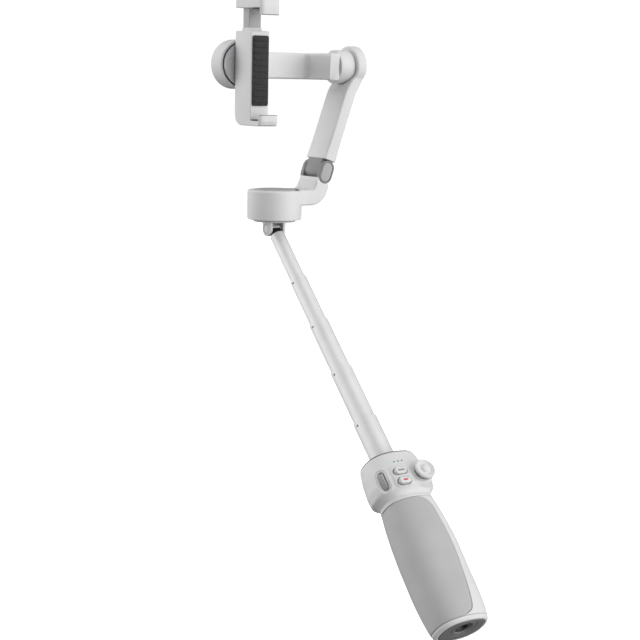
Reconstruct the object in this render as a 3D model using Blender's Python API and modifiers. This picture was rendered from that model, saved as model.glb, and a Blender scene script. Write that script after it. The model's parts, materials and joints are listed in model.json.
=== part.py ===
"""Handheld three-axis phone stabilizer with a telescopic rod in its handle.

World frame: +Z is up and is the pan axis, +X runs along the phone, and +Y points away from the user.
The origin is the centre of the tripod socket on the handle's lower face.
All sizes below are in millimetres; MM turns them into metres.
"""
import math

import bmesh
import bpy
from mathutils import Matrix, Vector

MM = 0.001
GAP = 0.3                   # clearance left between neighbouring pieces
ROUND = 36                  # sides of a large turned piece
SMALL = 20                  # sides of a small turned piece

# Handle, along its own axis from the tripod socket (0) towards the head
ROD_LEAN = 45.4             # degrees between the handle's axis and the vertical
REACH = 310.4               # tripod socket to head-tilt pin with the rod extended
HANDLE = 117.4              # length of the handle
FOOT_TOP = 4.9
GRIP_TOP = 84.3
NECK_R = 15.3
CONTROL_LOW = 90.0
GRIP_OUTLINE = [            # radius, height
    (18.2, 5.2), (19.0, 11.0), (19.7, 22.0), (19.85, 36.0),
    (19.4, 57.0), (18.4, 69.0), (17.4, 78.0), (16.5, 83.0), (15.9, GRIP_TOP),
]
OVAL = (1.07, 0.85)         # the handle's section is wider across than it is deep
SQUARE = 2.4                # exponent of its superellipse; 2 is a plain ellipse
LEAN_BACK = [               # height, how far the section lies behind the rod's axis
    (0.0, 2.4), (30.0, 1.8), (57.0, 0.0), (84.0, -1.0), (98.0, -1.6), (117.0, -1.2),
]
PANEL_WALL = 1.7
CORE_WALL = 1.6
PANEL_START = -165.0        # degrees from the handle's front, towards its right side
PANEL_END = 30.0

# Controls: angle from the handle's front (degrees, + to its right) and height
BUTTON_X = -6.2             # on the control section's flat front face
BUTTON_HEIGHTS = {"mode_button": 101.0, "record_button": 94.0}
BUTTON_DEPTH = 17.9
BUTTON_LENGTH = 8.4
BUTTON_WIDTH = 4.4
SURROUND = (10.6, 12.6)
SURROUND_HEIGHT = 97.6
JOYSTICK = (8.8, 97.9)      # across the front face, up the handle
JOYSTICK_DEPTH = 18.6
WHEEL_ANGLE = -55.0
WHEEL_HEIGHT = 98.6
WHEEL_R = 6.6
WHEEL_WIDTH = 3.4
WHEEL_CENTRE = 15.0         # radius at which the wheel's axle lies
WHEEL_TEETH = 24
POWER_ANGLE = 90.0
POWER_HEIGHT = 104.5
USB_HEIGHT = 97.0
LED_X = -5.4
LED_HEIGHT = 108.5

# Telescopic rod: distance from the head-tilt pin down to each section's upper rim
RIMS = [6.3, 44.5, 81.3, 120.0, 160.1]
LAPS = [10.2, 10.0, 9.9, 9.9, 18.0]      # length that stays inside the next section
TUBE_R = 5.1
TUBE_STEP = 0.72            # each section's outer radius over the one inside it
TUBE_WALL = 0.42

# Head-tilt fork
EAR_IN = 4.0
EAR_OUT = 6.3
EAR_R = 5.1
PIN_R = 2.0
PLATE_R = 14.75
PLATE_LOW = 4.9
PLATE_TOP = 6.1

# Pan motor, heights above the head-tilt pin
PAN_R = 18.4
PAN_WALL = 1.6
PAN_LOW = 6.4
PAN_TOP = 26.5
CAP_R = 13.6

# Arms, in the plane through the pan axis (X, height)
ARM_HALF = 12.0             # half the arms' width in Y
ARM_THICK = 10.4
ELBOW = (22.0, 29.8)
ELBOW_R = 8.5               # of the arm's middle line
ARM_SLANT = 19.1            # degrees from the vertical
FOLD = (34.0, 38.5)
CHEEK_R = 5.2
CHEEK_LENGTH = 16.0
CHEEK_IN = 8.6
UPPER_HALF = 4.2            # half the upper arm's thickness
TILT_Z = 109.7
TILT_DISC_R = 14.2
TILT_DISC_X = (56.4, 64.1)
TILT_ROTOR_R = 11.4

# Roll motor and clamp
ROLL_X = -19.5
ROLL_Z = 110.0
ROLL_R = 16.5
ROLL_FRONT = 12.6
ROLL_BACK = 27.0
PHONE_WIDTH = 71.5
PHONE_BACK = -12.35
PAD = 0.95
JAW_HALF = 7.1
LIP_FRONT = -23.4
LIP_BACK = -20.9
SPINE_FRONT = -10.6
SPINE_BACK = 9.9
SPINE_TOP = 22.0
SPRING_LOW = -30.3          # the jaw spring, from the spine's floor to the jaw's slider
SPRING_HIGH = -4.7
SPRING_TURNS = 8
SPRING_R = 2.6
SPRING_WIRE = 0.35

COLLECTION = "phone_gimbal"


# ---------------------------------------------------------------- basics

def clear_scene():
    for old in list(bpy.data.objects):
        bpy.data.objects.remove(old, do_unlink=True)


def collection(name):
    group = bpy.data.collections.new(name)
    bpy.context.scene.collection.children.link(group)
    return group


def material(name, colour, roughness, metallic=0.0):
    mat = bpy.data.materials.new(name)
    mat.use_nodes = True
    shader = mat.node_tree.nodes["Principled BSDF"]
    shader.inputs["Base Color"].default_value = (*colour, 1.0)
    shader.inputs["Roughness"].default_value = roughness
    shader.inputs["Metallic"].default_value = metallic
    mat.diffuse_color = (*colour, 1.0)
    return mat


def empty(name, parent, place=(0, 0, 0), turn=(0, 0, 0)):
    """An axis system that pieces are placed in; place in mm, turn in degrees."""
    node = bpy.data.objects.new(name, None)
    PARTS.objects.link(node)
    node.parent = parent
    node.location = Vector(place) * MM
    node.rotation_euler = [math.radians(a) for a in turn]
    return node


def finish(obj, mat, parent, place=(0, 0, 0), turn=(0, 0, 0), smooth=True):
    obj.parent = parent
    obj.location = Vector(place) * MM
    obj.rotation_euler = [math.radians(a) for a in turn]
    if mat:
        obj.data.materials.append(mat)
    if smooth and obj.type == "MESH":
        obj.data.shade_smooth()
        obj.data.set_sharp_from_angle(angle=math.radians(35))
    return obj


def mesh_object(name, bm, group=None):
    mesh = bpy.data.meshes.new(name)
    bm.to_mesh(mesh)
    bm.free()
    obj = bpy.data.objects.new(name, mesh)
    (group or PARTS).objects.link(obj)
    return obj


def turned(name, profile, sides=ROUND, group=None):
    """Turn (radius, height) points about Z. A ring's profile is closed: down outside, up inside."""
    bm = bmesh.new()
    verts = [bm.verts.new((r * MM, 0, z * MM)) for r, z in profile]
    closed = all(r > 0 for r, z in profile)
    pairs = list(zip(verts, verts[1:]))
    if closed:
        pairs.append((verts[-1], verts[0]))
    for a, b in pairs:
        bm.edges.new((a, b))
    obj = mesh_object(name, bm, group)
    screw = obj.modifiers.new("turn", "SCREW")
    screw.steps = sides
    screw.render_steps = sides
    screw.use_merge_vertices = True
    screw.merge_threshold = 0.00001
    screw.use_normal_calculate = False
    return obj


def ring(name, outer, inner, low, high, sides=SMALL, group=None):
    return turned(name, [(outer, high), (outer, low), (inner, low), (inner, high)], sides, group)


def rod(name, radius, low, high, sides=SMALL, group=None):
    return turned(name, [(0, high), (radius, high), (radius, low), (0, low)], sides, group)


def outline(name, points, thickness, group=None):
    """A flat outline in local XY, extruded equally to both sides along local Z, as a mesh."""
    curve = bpy.data.curves.new(name + "_outline", "CURVE")
    curve.dimensions = "2D"
    curve.fill_mode = "BOTH"
    curve.extrude = thickness / 2 * MM
    spline = curve.splines.new("POLY")
    spline.points.add(len(points) - 1)
    for point, (x, y) in zip(spline.points, points):
        point.co = (x * MM, y * MM, 0, 1)
    spline.use_cyclic_u = True
    holder = bpy.data.objects.new(name + "_outline", curve)
    bpy.context.scene.collection.objects.link(holder)
    bpy.context.view_layer.update()
    solved = holder.evaluated_get(bpy.context.evaluated_depsgraph_get())
    mesh = bpy.data.meshes.new_from_object(solved)
    bm = bmesh.new()
    bm.from_mesh(mesh)
    bmesh.ops.remove_doubles(bm, verts=bm.verts, dist=1e-6)
    bmesh.ops.recalc_face_normals(bm, faces=bm.faces)
    bm.to_mesh(mesh)
    bm.free()
    bpy.data.objects.remove(holder, do_unlink=True)
    mesh.name = name
    obj = bpy.data.objects.new(name, mesh)
    (group or PARTS).objects.link(obj)
    return obj


def block(name, low, high, group=None, bevel=0.0):
    """A box between two corners in mm, with its edges rounded by bevel."""
    bm = bmesh.new()
    bmesh.ops.create_cube(bm, size=1.0)
    size = [(b - a) * MM for a, b in zip(low, high)]
    middle = [(a + b) / 2 * MM for a, b in zip(low, high)]
    bmesh.ops.transform(bm, matrix=Matrix.Diagonal((*size, 1)), verts=bm.verts)
    bmesh.ops.translate(bm, vec=middle, verts=bm.verts)
    obj = mesh_object(name, bm, group)
    if bevel:
        soften(obj, bevel)
    return obj


def soften(obj, width, segments=2, limit=30.0):
    bevel = obj.modifiers.new("rounding", "BEVEL")
    bevel.width = width * MM
    bevel.segments = segments
    bevel.limit_method = "ANGLE"
    bevel.angle_limit = math.radians(limit)


def combine(obj, other, operation="UNION"):
    """Join or cut obj with a construction body, which is kept out of the model."""
    CUTTERS.objects.link(other)
    PARTS.objects.unlink(other)
    other.hide_render = True
    other.display_type = "WIRE"
    boolean = obj.modifiers.new(operation.lower(), "BOOLEAN")
    boolean.operation = operation
    boolean.solver = "EXACT"
    boolean.object = other


def helper(obj, parent, place=(0, 0, 0), turn=(0, 0, 0)):
    return finish(obj, None, parent, place, turn, smooth=False)


def arc(centre, radius, start, end, steps):
    """Points on an arc, angles in degrees from the first axis."""
    angles = [math.radians(start + (end - start) * i / steps) for i in range(steps + 1)]
    return [(centre[0] + radius * math.cos(a), centre[1] + radius * math.sin(a)) for a in angles]


def stadium(length, width, steps=8):
    """A slot shape along local X, centred."""
    run = (length - width) / 2
    return arc((run, 0), width / 2, -90, 90, steps) + arc((-run, 0), width / 2, 90, 270, steps)


def section_point(angle, radius):
    """A point of the handle's section: the angle is from its front, the radius a plain circle's."""
    across, ahead = math.sin(math.radians(angle)), math.cos(math.radians(angle))
    power = 2 / SQUARE
    return (OVAL[0] * radius * math.copysign(abs(across) ** power, across),
            -OVAL[1] * radius * math.copysign(abs(ahead) ** power, ahead))


def lean_back(height):
    for (low, first), (high, last) in zip(LEAN_BACK, LEAN_BACK[1:]):
        if height <= high:
            return first + (last - first) * max(0.0, height - low) / (high - low)
    return LEAN_BACK[-1][1]


def section(obj, beyond=0.0):
    """Gives a turned piece of the handle its section; what lies nearer the axis stays round."""
    evaluated = obj.evaluated_get(bpy.context.evaluated_depsgraph_get())
    mesh = bpy.data.meshes.new_from_object(evaluated)
    obj.modifiers.clear()
    obj.data = mesh
    turn = obj.rotation_euler.z
    for vertex in mesh.vertices:
        x, y = vertex.co.x / MM, vertex.co.y / MM
        radius = math.hypot(x, y)
        if radius > beyond:
            angle = math.degrees(math.atan2(y, x) + turn) + 90
            x, y = section_point(angle, radius)
            vertex.co.x, vertex.co.y = x * MM, (y + lean_back(vertex.co.z / MM)) * MM
        else:
            vertex.co.xy = Matrix.Rotation(turn, 2) @ vertex.co.xy
    obj.rotation_euler.z = 0
    obj.data.set_sharp_from_angle(angle=math.radians(35))
    return obj


def radial(name, angle, height, radius):
    """An empty on the handle's side: local Z points outwards, local Y towards the head."""
    x, y = section_point(angle, radius)
    return empty(name, HANDLE_AXIS, (x, y + lean_back(height), height), (90, 0, angle))


def on_face(name, x, height, depth):
    """An empty on the handle's flat front face, depth from the axis; axes as in radial."""
    return empty(name, HANDLE_AXIS, (x, -depth, height), (90, 0, 0))


# ---------------------------------------------------------------- handle

def inset(profile, distance):
    return [(r - distance, z) for r, z in profile]


def handle_body():
    outer = GRIP_OUTLINE[::-1]
    core = [(NECK_R, CONTROL_LOW - GAP), (NECK_R, GRIP_TOP + GAP)]
    core += inset([(15.9, GRIP_TOP + GAP)] + outer[1:], PANEL_WALL + 2 * GAP)
    inner = inset(core[3:], CORE_WALL)[::-1]
    core += inner + [(12.8, GRIP_TOP), (12.8, CONTROL_LOW - GAP)]
    section(finish(turned("grip_core", core), GREY, HANDLE_AXIS))
    segment("grip_panel", PANEL_START, PANEL_END, RUBBER)
    segment("grip_back_shell", PANEL_END, PANEL_START + 360, WHITE)
    foot = [(18.2, FOOT_TOP), (17.6, 2.2), (16.2, 0.5), (15.4, 0.2),
            (14.6, 0.2), (14.6, 3.2), (15.6, FOOT_TOP)]
    section(finish(turned("handle_foot", foot), WHITE, HANDLE_AXIS))
    plate = ring("base_plate", 14.3, 5.3, 0.0, 2.6, ROUND)
    section(finish(plate, DARK, HANDLE_AXIS), beyond=6.0)
    insert = [(0, 8.6), (6.6, 8.6), (6.6, 3.0), (5.0, 3.0), (5.0, 0.5), (3.2, 0.5), (3.2, 7.2),
              (0, 7.2)]
    finish(turned("tripod_insert", insert, SMALL), BRASS, HANDLE_AXIS)


def segment(name, start, end, mat):
    """One piece of the grip's outer skin, between two angles from the handle's front."""
    margin = 0.7
    sweep = end - start - 2 * margin
    bm = bmesh.new()
    verts = [bm.verts.new((r * MM, 0, z * MM)) for r, z in GRIP_OUTLINE[::-1]]
    for a, b in zip(verts, verts[1:]):
        bm.edges.new((a, b))
    obj = mesh_object(name, bm)
    screw = obj.modifiers.new("turn", "SCREW")
    screw.angle = math.radians(sweep)
    screw.steps = screw.render_steps = max(8, int(sweep / 7.5))
    screw.use_normal_calculate = False
    wall = obj.modifiers.new("wall", "SOLIDIFY")
    wall.thickness = PANEL_WALL * MM
    wall.offset = -1
    wall.use_even_offset = False
    section(finish(obj, mat, HANDLE_AXIS, turn=(0, 0, start + margin - 90)))


def control_housing():
    outer = [(16.9, 116.4), (17.8, 115.0), (19.1, 107.0), (20.1, 98.0), (20.1, 93.0), (19.3, 90.6),
             (18.3, CONTROL_LOW), (15.7, CONTROL_LOW)]
    inner = [(15.7, 91.6), (18.3, 93.0), (18.4, 98.0), (17.4, 107.0), (16.0, 115.0), (15.8, 116.4)]
    shell = section(finish(turned("control_housing", outer + inner), WHITE, HANDLE_AXIS))
    place = on_face("button_cut", BUTTON_X, SURROUND_HEIGHT, 16.0)
    opening = [size + 2 * GAP for size in SURROUND]
    window = helper(outline("button_window", rounded(*opening, 2.6), 8), place)
    combine(shell, window, "DIFFERENCE")
    seats = [
        ("joystick_window", on_face("joystick_cut", *JOYSTICK, 15.0), 5.9),
        ("power_window", radial("power_cut", POWER_ANGLE, POWER_HEIGHT, 19.0), 3.4),
    ]
    for name, seat, radius in seats:
        combine(shell, helper(rod(name, radius, -6, 8), seat), "DIFFERENCE")
    slots = [
        ("wheel_window", radial("wheel_cut", WHEEL_ANGLE, WHEEL_HEIGHT, 18.5), (15.4, 8.0), 90),
        ("usb_window", radial("usb_cut", POWER_ANGLE, USB_HEIGHT, 18.5), (9.4, 3.8), 0),
        ("led_window_cut", on_face("led_cut", LED_X, LED_HEIGHT, 16.0), (12.0, 2.2), 0),
    ]
    for name, seat, (length, width), turn in slots:
        cutter = helper(outline(name, stadium(length, width), 9), seat, turn=(0, 0, turn))
        combine(shell, cutter, "DIFFERENCE")
    gate = helper(block("trigger_gate", (-5.0, 11, 92.6), (5.0, 24, 109.4)), HANDLE_AXIS)
    combine(shell, gate, "DIFFERENCE")
    bezel = [(16.9, HANDLE), (16.9, 116.7), (15.5, 116.7), (15.5, 114.6), (8.4, 114.6), (8.4, HANDLE)]
    section(finish(turned("top_bezel", bezel), DARK, HANDLE_AXIS), beyond=10.0)


def rounded(width, height, radius, steps=5):
    """A rectangle with round corners, centred."""
    x = width / 2 - radius
    y = height / 2 - radius
    corners = [((x, -y), -90), ((x, y), 0), ((-x, y), 90), ((-x, -y), 180)]
    return [p for centre, start in corners for p in arc(centre, radius, start, start + 90, steps)]


def handle_internals():
    finish(ring("rod_sleeve", 9.6, 8.4, 66, 91.5), DARK, HANDLE_AXIS)
    cell = [(0, 60.2), (3.0, 60.2), (3.0, 59.4), (9.1, 59.4), (9.1, 10.4), (0, 10.4)]
    finish(turned("battery_cell", cell, SMALL), BLUE, HANDLE_AXIS)
    finish(block("main_board", (-5, 9.4, 18), (5, 10.5, 65)), BOARD, HANDLE_AXIS, smooth=False)
    finish(block("control_board", (-8.6, -12.4, 92), (8.6, -11.2, 112)), BOARD, HANDLE_AXIS,
           smooth=False)
    seat = radial("usb_seat", POWER_ANGLE, USB_HEIGHT, 18.0)
    port = outline("usb_port", stadium(8.8, 3.2), 5.0)
    finish(port, STEEL, seat)
    combine(port, helper(outline("usb_mouth", stadium(8.2, 2.6), 4.0), seat, (0, 0, 1.6)),
            "DIFFERENCE")
    seat = on_face("led_seat", LED_X, LED_HEIGHT, 16.6)
    finish(outline("led_window", stadium(11.4, 1.6), 2.4), DARK, seat)


def buttons():
    surround_seat = on_face("surround_seat", BUTTON_X, SURROUND_HEIGHT, 17.4)
    surround = outline("button_surround", rounded(*SURROUND, 2.3), 4.0)
    finish(surround, WHITE, surround_seat)
    for name, height in BUTTON_HEIGHTS.items():
        seat = on_face(name + "_axis", BUTTON_X, height, BUTTON_DEPTH)
        wide = BUTTON_LENGTH + 2 * GAP
        cutter = outline(name + "_well", stadium(wide, BUTTON_WIDTH + 2 * GAP), 12)
        combine(surround, helper(cutter, seat), "DIFFERENCE")
        button = outline(name, stadium(BUTTON_LENGTH, BUTTON_WIDTH), 4.0)
        soften(button, 0.4, limit=60)
        finish(button, GREY, seat)


def joystick():
    seat = on_face("joystick_axis", *JOYSTICK, JOYSTICK_DEPTH)
    collar = [(6.8, 1.0), (6.8, 0.5), (5.6, 0.5), (5.6, -4.2), (4.3, -4.2), (4.3, 1.0)]
    finish(turned("joystick_collar", collar, SMALL), WHITE, seat)
    finish(ring("joystick_yoke", 3.9, 2.6, -3.6, -2.4), STEEL, seat)
    cap = [(0, 5.3), (1.4, 5.2), (2.4, 4.7), (2.7, 4.3), (5.4, 4.3), (6.4, 4.6), (6.9, 4.1),
           (6.9, 3.5), (6.3, 3.0), (2.0, 2.6), (2.0, -3.6), (0, -3.6)]
    finish(turned("joystick_cap", cap, SMALL), WHITE, seat)


def zoom_wheel():
    seat = radial("zoom_wheel_axis", WHEEL_ANGLE, WHEEL_HEIGHT, WHEEL_CENTRE)
    pitch = 360 / WHEEL_TEETH
    points = []
    for i in range(WHEEL_TEETH):
        points += arc((0, 0), WHEEL_R, i * pitch, (i + 0.55) * pitch, 1)
        points += arc((0, 0), WHEEL_R - 0.45, (i + 0.7) * pitch, (i + 0.85) * pitch, 1)
    wheel = finish(outline("zoom_wheel", points, WHEEL_WIDTH), GREY, seat, turn=(0, 90, 0))
    combine(wheel, helper(rod("wheel_axle", 1.2, -3.0, 3.0, 16), seat, turn=(0, 90, 0)))
    place = {"place": (0, 0, 5.2), "turn": (0, 0, 90)}
    bezel = finish(outline("zoom_wheel_bezel", stadium(14.8, 7.4), 2.0), WHITE, seat, **place)
    combine(bezel, helper(outline("wheel_slot", stadium(12.9, 4.2), 4), seat, **place),
            "DIFFERENCE")


def trigger_and_power():
    pivot = empty("trigger_axis", HANDLE_AXIS, (0, 12.4, 107.4))
    blade = [(1.4, 1.5), (1.9, -1.8), (3.4, -5.0), (4.4, -9.0), (4.2, -13.6), (1.6, -13.6),
             (1.2, -8.0), (0.2, -3.0), (-0.9, 1.5)]
    trigger = outline("trigger", blade, 9.2)
    soften(trigger, 0.5, limit=50)
    finish(trigger, GREY, pivot, turn=(90, 0, 90))
    seat = radial("power_button_axis", POWER_ANGLE, POWER_HEIGHT, 18.6)
    cap = [(0, 1.8), (2.6, 1.8), (3.1, 1.4), (3.1, -2.0), (0, -2.0)]
    finish(turned("power_button", cap, SMALL), GREY, seat)


# ---------------------------------------------------------------- rod

def telescopic_rod():
    lower_rims = RIMS[1:] + [REACH - HANDLE]
    for i, (top, next_top, lap) in enumerate(zip(RIMS, lower_rims, LAPS)):
        axis = empty(f"rod_section_{i + 1}_axis", HANDLE_AXIS, (0, 0, REACH - top))
        outer = TUBE_R + i * TUBE_STEP
        tube = ring(f"rod_section_{i + 1}", outer, outer - TUBE_WALL, top - next_top - lap, 0, ROUND)
        finish(tube, ALUMINIUM, axis)


def rod_knuckle():
    """The plug in the thinnest section's end, with the tongue that turns on the head-tilt pin."""
    pivot = empty("knuckle_axis", HANDLE_AXIS, (0, 0, REACH))
    plug = rod("rod_knuckle", 4.35, -15, -5.3)
    finish(plug, BLACK, pivot)
    tongue = arc((0, 0), 4.3, 0, 180, 12) + [(-4.3, -5.9), (4.3, -5.9)]
    combine(plug, helper(outline("tongue", tongue, 7.4), pivot, turn=(90, 0, 90)))
    combine(plug, helper(rod("tongue_bore", PIN_R + GAP, -6, 6, 24), pivot, turn=(0, 90, 0)),
            "DIFFERENCE")


# ---------------------------------------------------------------- pan motor and lower arm

def pan_base():
    plate = rod("pan_base_plate", PLATE_R, PLATE_LOW, PLATE_TOP, ROUND)
    finish(plate, WHITE, HEAD)
    ear = arc((0, 0), EAR_R, 180, 360, 12) + [(EAR_R, PLATE_LOW + 0.4), (-EAR_R, PLATE_LOW + 0.4)]
    for side in (-1, 1):
        middle = side * (EAR_IN + EAR_OUT) / 2
        lug = outline(f"ear_{side}", ear, EAR_OUT - EAR_IN)
        combine(plate, helper(lug, HEAD, (middle, 0, 0), (90, 0, 90)))
    combine(plate, helper(rod("ear_bore", PIN_R + GAP, -9, 9, 24), HEAD, turn=(0, 90, 0)),
            "DIFFERENCE")
    head_r = 4.2
    head_out = EAR_OUT + 0.7
    pin = [(0, head_out), (head_r, head_out), (head_r, EAR_OUT + GAP), (PIN_R, EAR_OUT + GAP)]
    pin += [(r, -z) for r, z in pin[::-1]]
    finish(turned("tilt_pin", pin, 24), STEEL, HEAD, turn=(0, 90, 0))
    shaft = [(0, 23.4), (3.0, 23.4), (3.0, 7.6), (6.0, 7.6), (6.0, PAN_LOW), (0, PAN_LOW)]
    finish(turned("pan_shaft", shaft, 24), STEEL, HEAD)
    finish(ring("pan_stator", 12.6, 3.3, 9.0, 17.0), COPPER, HEAD)
    finish(ring("pan_bearing", 6.4, 3.3, 18.6, 22.6), STEEL, HEAD)


def arm_point(along, out):
    """A point measured from the fold pin along the arms' slant and outwards across it."""
    a = math.radians(ARM_SLANT)
    return (FOLD[0] + along * math.sin(a) + out * math.cos(a),
            FOLD[1] + along * math.cos(a) - out * math.sin(a))


def pan_arm():
    housing = rod("pan_housing", PAN_R, PAN_LOW, PAN_TOP, ROUND)
    soften(housing, 0.8, limit=40)
    finish(housing, WHITE, PAN)
    half = ARM_THICK / 2
    level = ELBOW[1] - ELBOW_R
    turn_end = -ARM_SLANT
    outer = arc(ELBOW, ELBOW_R + half, -90, turn_end, 10)
    inner = arc(ELBOW, ELBOW_R - half, turn_end, -90, 6)
    low_end = -CHEEK_LENGTH / 2 - GAP
    points = [(9.0, level - half)] + outer + [arm_point(low_end, half), arm_point(low_end, -half)]
    points += inner + [(9.0, level + half - 0.2)]
    arm = outline("lower_arm", points, 2 * ARM_HALF)
    combine(housing, helper(arm, PAN, turn=(90, 0, 0)))
    cavity = [(0, PAN_TOP - PAN_WALL), (6.7, PAN_TOP - PAN_WALL), (6.7, 18.0), (8.4, 18.0),
              (8.4, PAN_TOP - PAN_WALL), (PAN_R - PAN_WALL, PAN_TOP - PAN_WALL),
              (PAN_R - PAN_WALL, PAN_LOW - 1), (0, PAN_LOW - 1)]
    combine(housing, helper(turned("pan_cavity", cavity), PAN), "DIFFERENCE")
    recess = rod("cap_recess", CAP_R + GAP, PAN_TOP - 0.6, PAN_TOP + 1, ROUND)
    combine(housing, helper(recess, PAN), "DIFFERENCE")
    finish(rod("pan_top_cap", CAP_R, PAN_TOP - GAP, PAN_TOP + 0.5, ROUND), GREY, PAN)
    finish(ring("pan_magnet_ring", 16.4, 14.4, 8.0, 18.0, ROUND), STEEL, PAN)
    for name, side in (("fold_cheek_front", -1), ("fold_cheek_rear", 1)):
        cheek = outline(name, stadium(CHEEK_LENGTH, 2 * CHEEK_R), ARM_HALF - CHEEK_IN)
        middle = side * (ARM_HALF + CHEEK_IN) / 2
        place = (FOLD[0], middle, FOLD[1])
        finish(cheek, GREY, PAN, place, (90, ARM_SLANT - 90, 0))
        bore = helper(rod(name + "_bore", 2.5, -3, 3, 24), PAN, (FOLD[0], side * 8.6, FOLD[1]),
                      (90, 0, 0))
        combine(cheek, bore, "DIFFERENCE")
    pin = helper(rod("fold_pin", 2.2, -11.1, 11.1, 24), PAN, (FOLD[0], 0, FOLD[1]), (90, 0, 0))
    pin.data.materials.append(STEEL)


# ---------------------------------------------------------------- upper arm and tilt motor

def upper_arm():
    shoulder = CHEEK_LENGTH / 2 + GAP
    base = UPPER_HALF + 0.5
    slanted = [(shoulder, base), (22.0, UPPER_HALF), (58.0, UPPER_HALF)]
    right = [arm_point(*p) for p in slanted]
    left = [arm_point(s, -o) for s, o in slanted[::-1]]
    inner_x, outer_x = TILT_DISC_X
    top = TILT_Z + TILT_DISC_R + 2
    points = right + [(outer_x, TILT_Z - 4), (outer_x, top), (inner_x, top), (inner_x, TILT_Z - 3)]
    arm = outline("upper_arm", points + left, 2 * TILT_DISC_R + 4)
    finish(arm, WHITE, FOLD_AXIS, (-FOLD[0], 0, -FOLD[1]), (90, 0, 0))
    flare = math.degrees(math.acos(ARM_HALF / TILT_DISC_R))
    side_view = arc((0, TILT_Z), TILT_DISC_R, -flare, 180 + flare, 24)
    side_view += [(-ARM_HALF, 30), (ARM_HALF, 30)]
    face = helper(outline("arm_side_view", side_view, 90), FOLD_AXIS, (50 - FOLD[0], 0, -FOLD[1]),
                  (90, 0, 90))
    combine(arm, face, "INTERSECT")
    well = helper(rod("rotor_well", TILT_ROTOR_R + 0.8, 30, inner_x, ROUND), TILT_AXIS,
                  turn=(0, 90, 0))
    combine(arm, well, "DIFFERENCE")
    pocket = helper(rod("cover_pocket", 12.2, outer_x - 1.2, outer_x + 2, ROUND), TILT_AXIS,
                    turn=(0, 90, 0))
    combine(arm, pocket, "DIFFERENCE")
    tongue = arc((0, 0), 4.9, 180, 360, 12) + [(4.5, shoulder - GAP), (-4.5, shoulder - GAP)]
    piece = outline("fold_tongue", tongue, 2 * (CHEEK_IN - GAP))
    finish(piece, GREY, FOLD_AXIS, turn=(90, ARM_SLANT, 0))
    combine(piece, helper(rod("tongue_hole", 2.5, -12, 12, 24), FOLD_AXIS, turn=(90, 0, 0)),
            "DIFFERENCE")
    cover = [(0, outer_x), (11.2, outer_x), (11.9, outer_x - 0.4), (11.9, outer_x - 0.9),
             (0, outer_x - 0.9)]
    finish(turned("tilt_motor_cover", cover), GREY, TILT_AXIS, turn=(0, 90, 0))
    shaft = [(0, inner_x - GAP), (5.0, inner_x - GAP), (5.0, inner_x - 1.2), (2.6, inner_x - 1.2),
             (2.6, 47.0), (0, 47.0)]
    finish(turned("tilt_shaft", shaft, 24), STEEL, TILT_AXIS, turn=(0, 90, 0))
    finish(ring("tilt_stator", 8.8, 2.9, 50.4, 54.8), COPPER, TILT_AXIS, turn=(0, 90, 0))
    finish(ring("tilt_bearing", 5.4, 2.9, 47.0, 50.0, 24), STEEL, TILT_AXIS, turn=(0, 90, 0))


# ---------------------------------------------------------------- roll arm and roll motor

def roll_arm():
    inner_x = TILT_DISC_X[0] - GAP
    cup = [(0, 46.4), (10.0, 46.4), (10.0, inner_x), (TILT_ROTOR_R, inner_x),
           (TILT_ROTOR_R, 44.8), (0, 44.8)]
    finish(turned("tilt_rotor_cup", cup), WHITE, TILT_AXIS, turn=(0, 90, 0))
    edge = 44.5
    start = ROLL_X + ROLL_R + GAP
    points = arc((edge - 9, ROLL_BACK - 9), 9, 90, 0, 8) + [(edge, -9.5), (36.5, -9.5)]
    points += arc((34.5, 17), 2, 0, 90, 4) + [(start + 0.6, 19), (start, ROLL_BACK - 0.2)]
    band = outline("roll_arm", points, 18.0)
    soften(band, 1.6, limit=60)
    finish(band, WHITE, TILT_AXIS)
    cavity_back = ROLL_BACK - 1.8
    cup = [(0, ROLL_BACK), (ROLL_R - 1.2, ROLL_BACK), (ROLL_R, ROLL_BACK - 1.2),
           (ROLL_R, ROLL_FRONT), (ROLL_R - 1.6, ROLL_FRONT), (ROLL_R - 1.6, cavity_back),
           (0, cavity_back)]
    finish(turned("roll_motor_housing", cup), WHITE, ROLL_AXIS_FIXED, turn=(-90, 0, 0))
    finish(ring("roll_stator", 11.0, 4.0, 15.2, 21.0), COPPER, ROLL_AXIS_FIXED, turn=(-90, 0, 0))
    finish(ring("roll_bearing", 5.6, 2.8, 21.6, 24.6, 24), STEEL, ROLL_AXIS_FIXED,
           turn=(-90, 0, 0))


# ---------------------------------------------------------------- phone clamp

def roll_rotor():
    disc = [(0, 24.4), (2.5, 24.4), (2.5, 12.3), (14.6, 12.3), (14.6, 10.2), (0, 10.2)]
    finish(turned("roll_rotor", disc, ROUND), STEEL, ROLL_AXIS, turn=(-90, 0, 0))
    finish(ring("roll_magnet_ring", 14.2, 11.4, 12.7, 20.0, ROUND), STEEL, ROLL_AXIS,
           turn=(-90, 0, 0))


def jaw_profile(tip, seat, corner):
    """The upper jaw's outline from its pad seat round the lip and over its back (Y, height)."""
    half = PHONE_WIDTH / 2
    top = half + seat
    points = [(LIP_BACK, half + PAD + GAP), (LIP_BACK, half - tip), (LIP_FRONT, half - tip)]
    points += [(LIP_FRONT, top - 2.2), (LIP_FRONT + 0.8, top)]
    return points + arc((SPINE_BACK - corner, top - corner), corner, 90, 0, 6)


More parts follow.
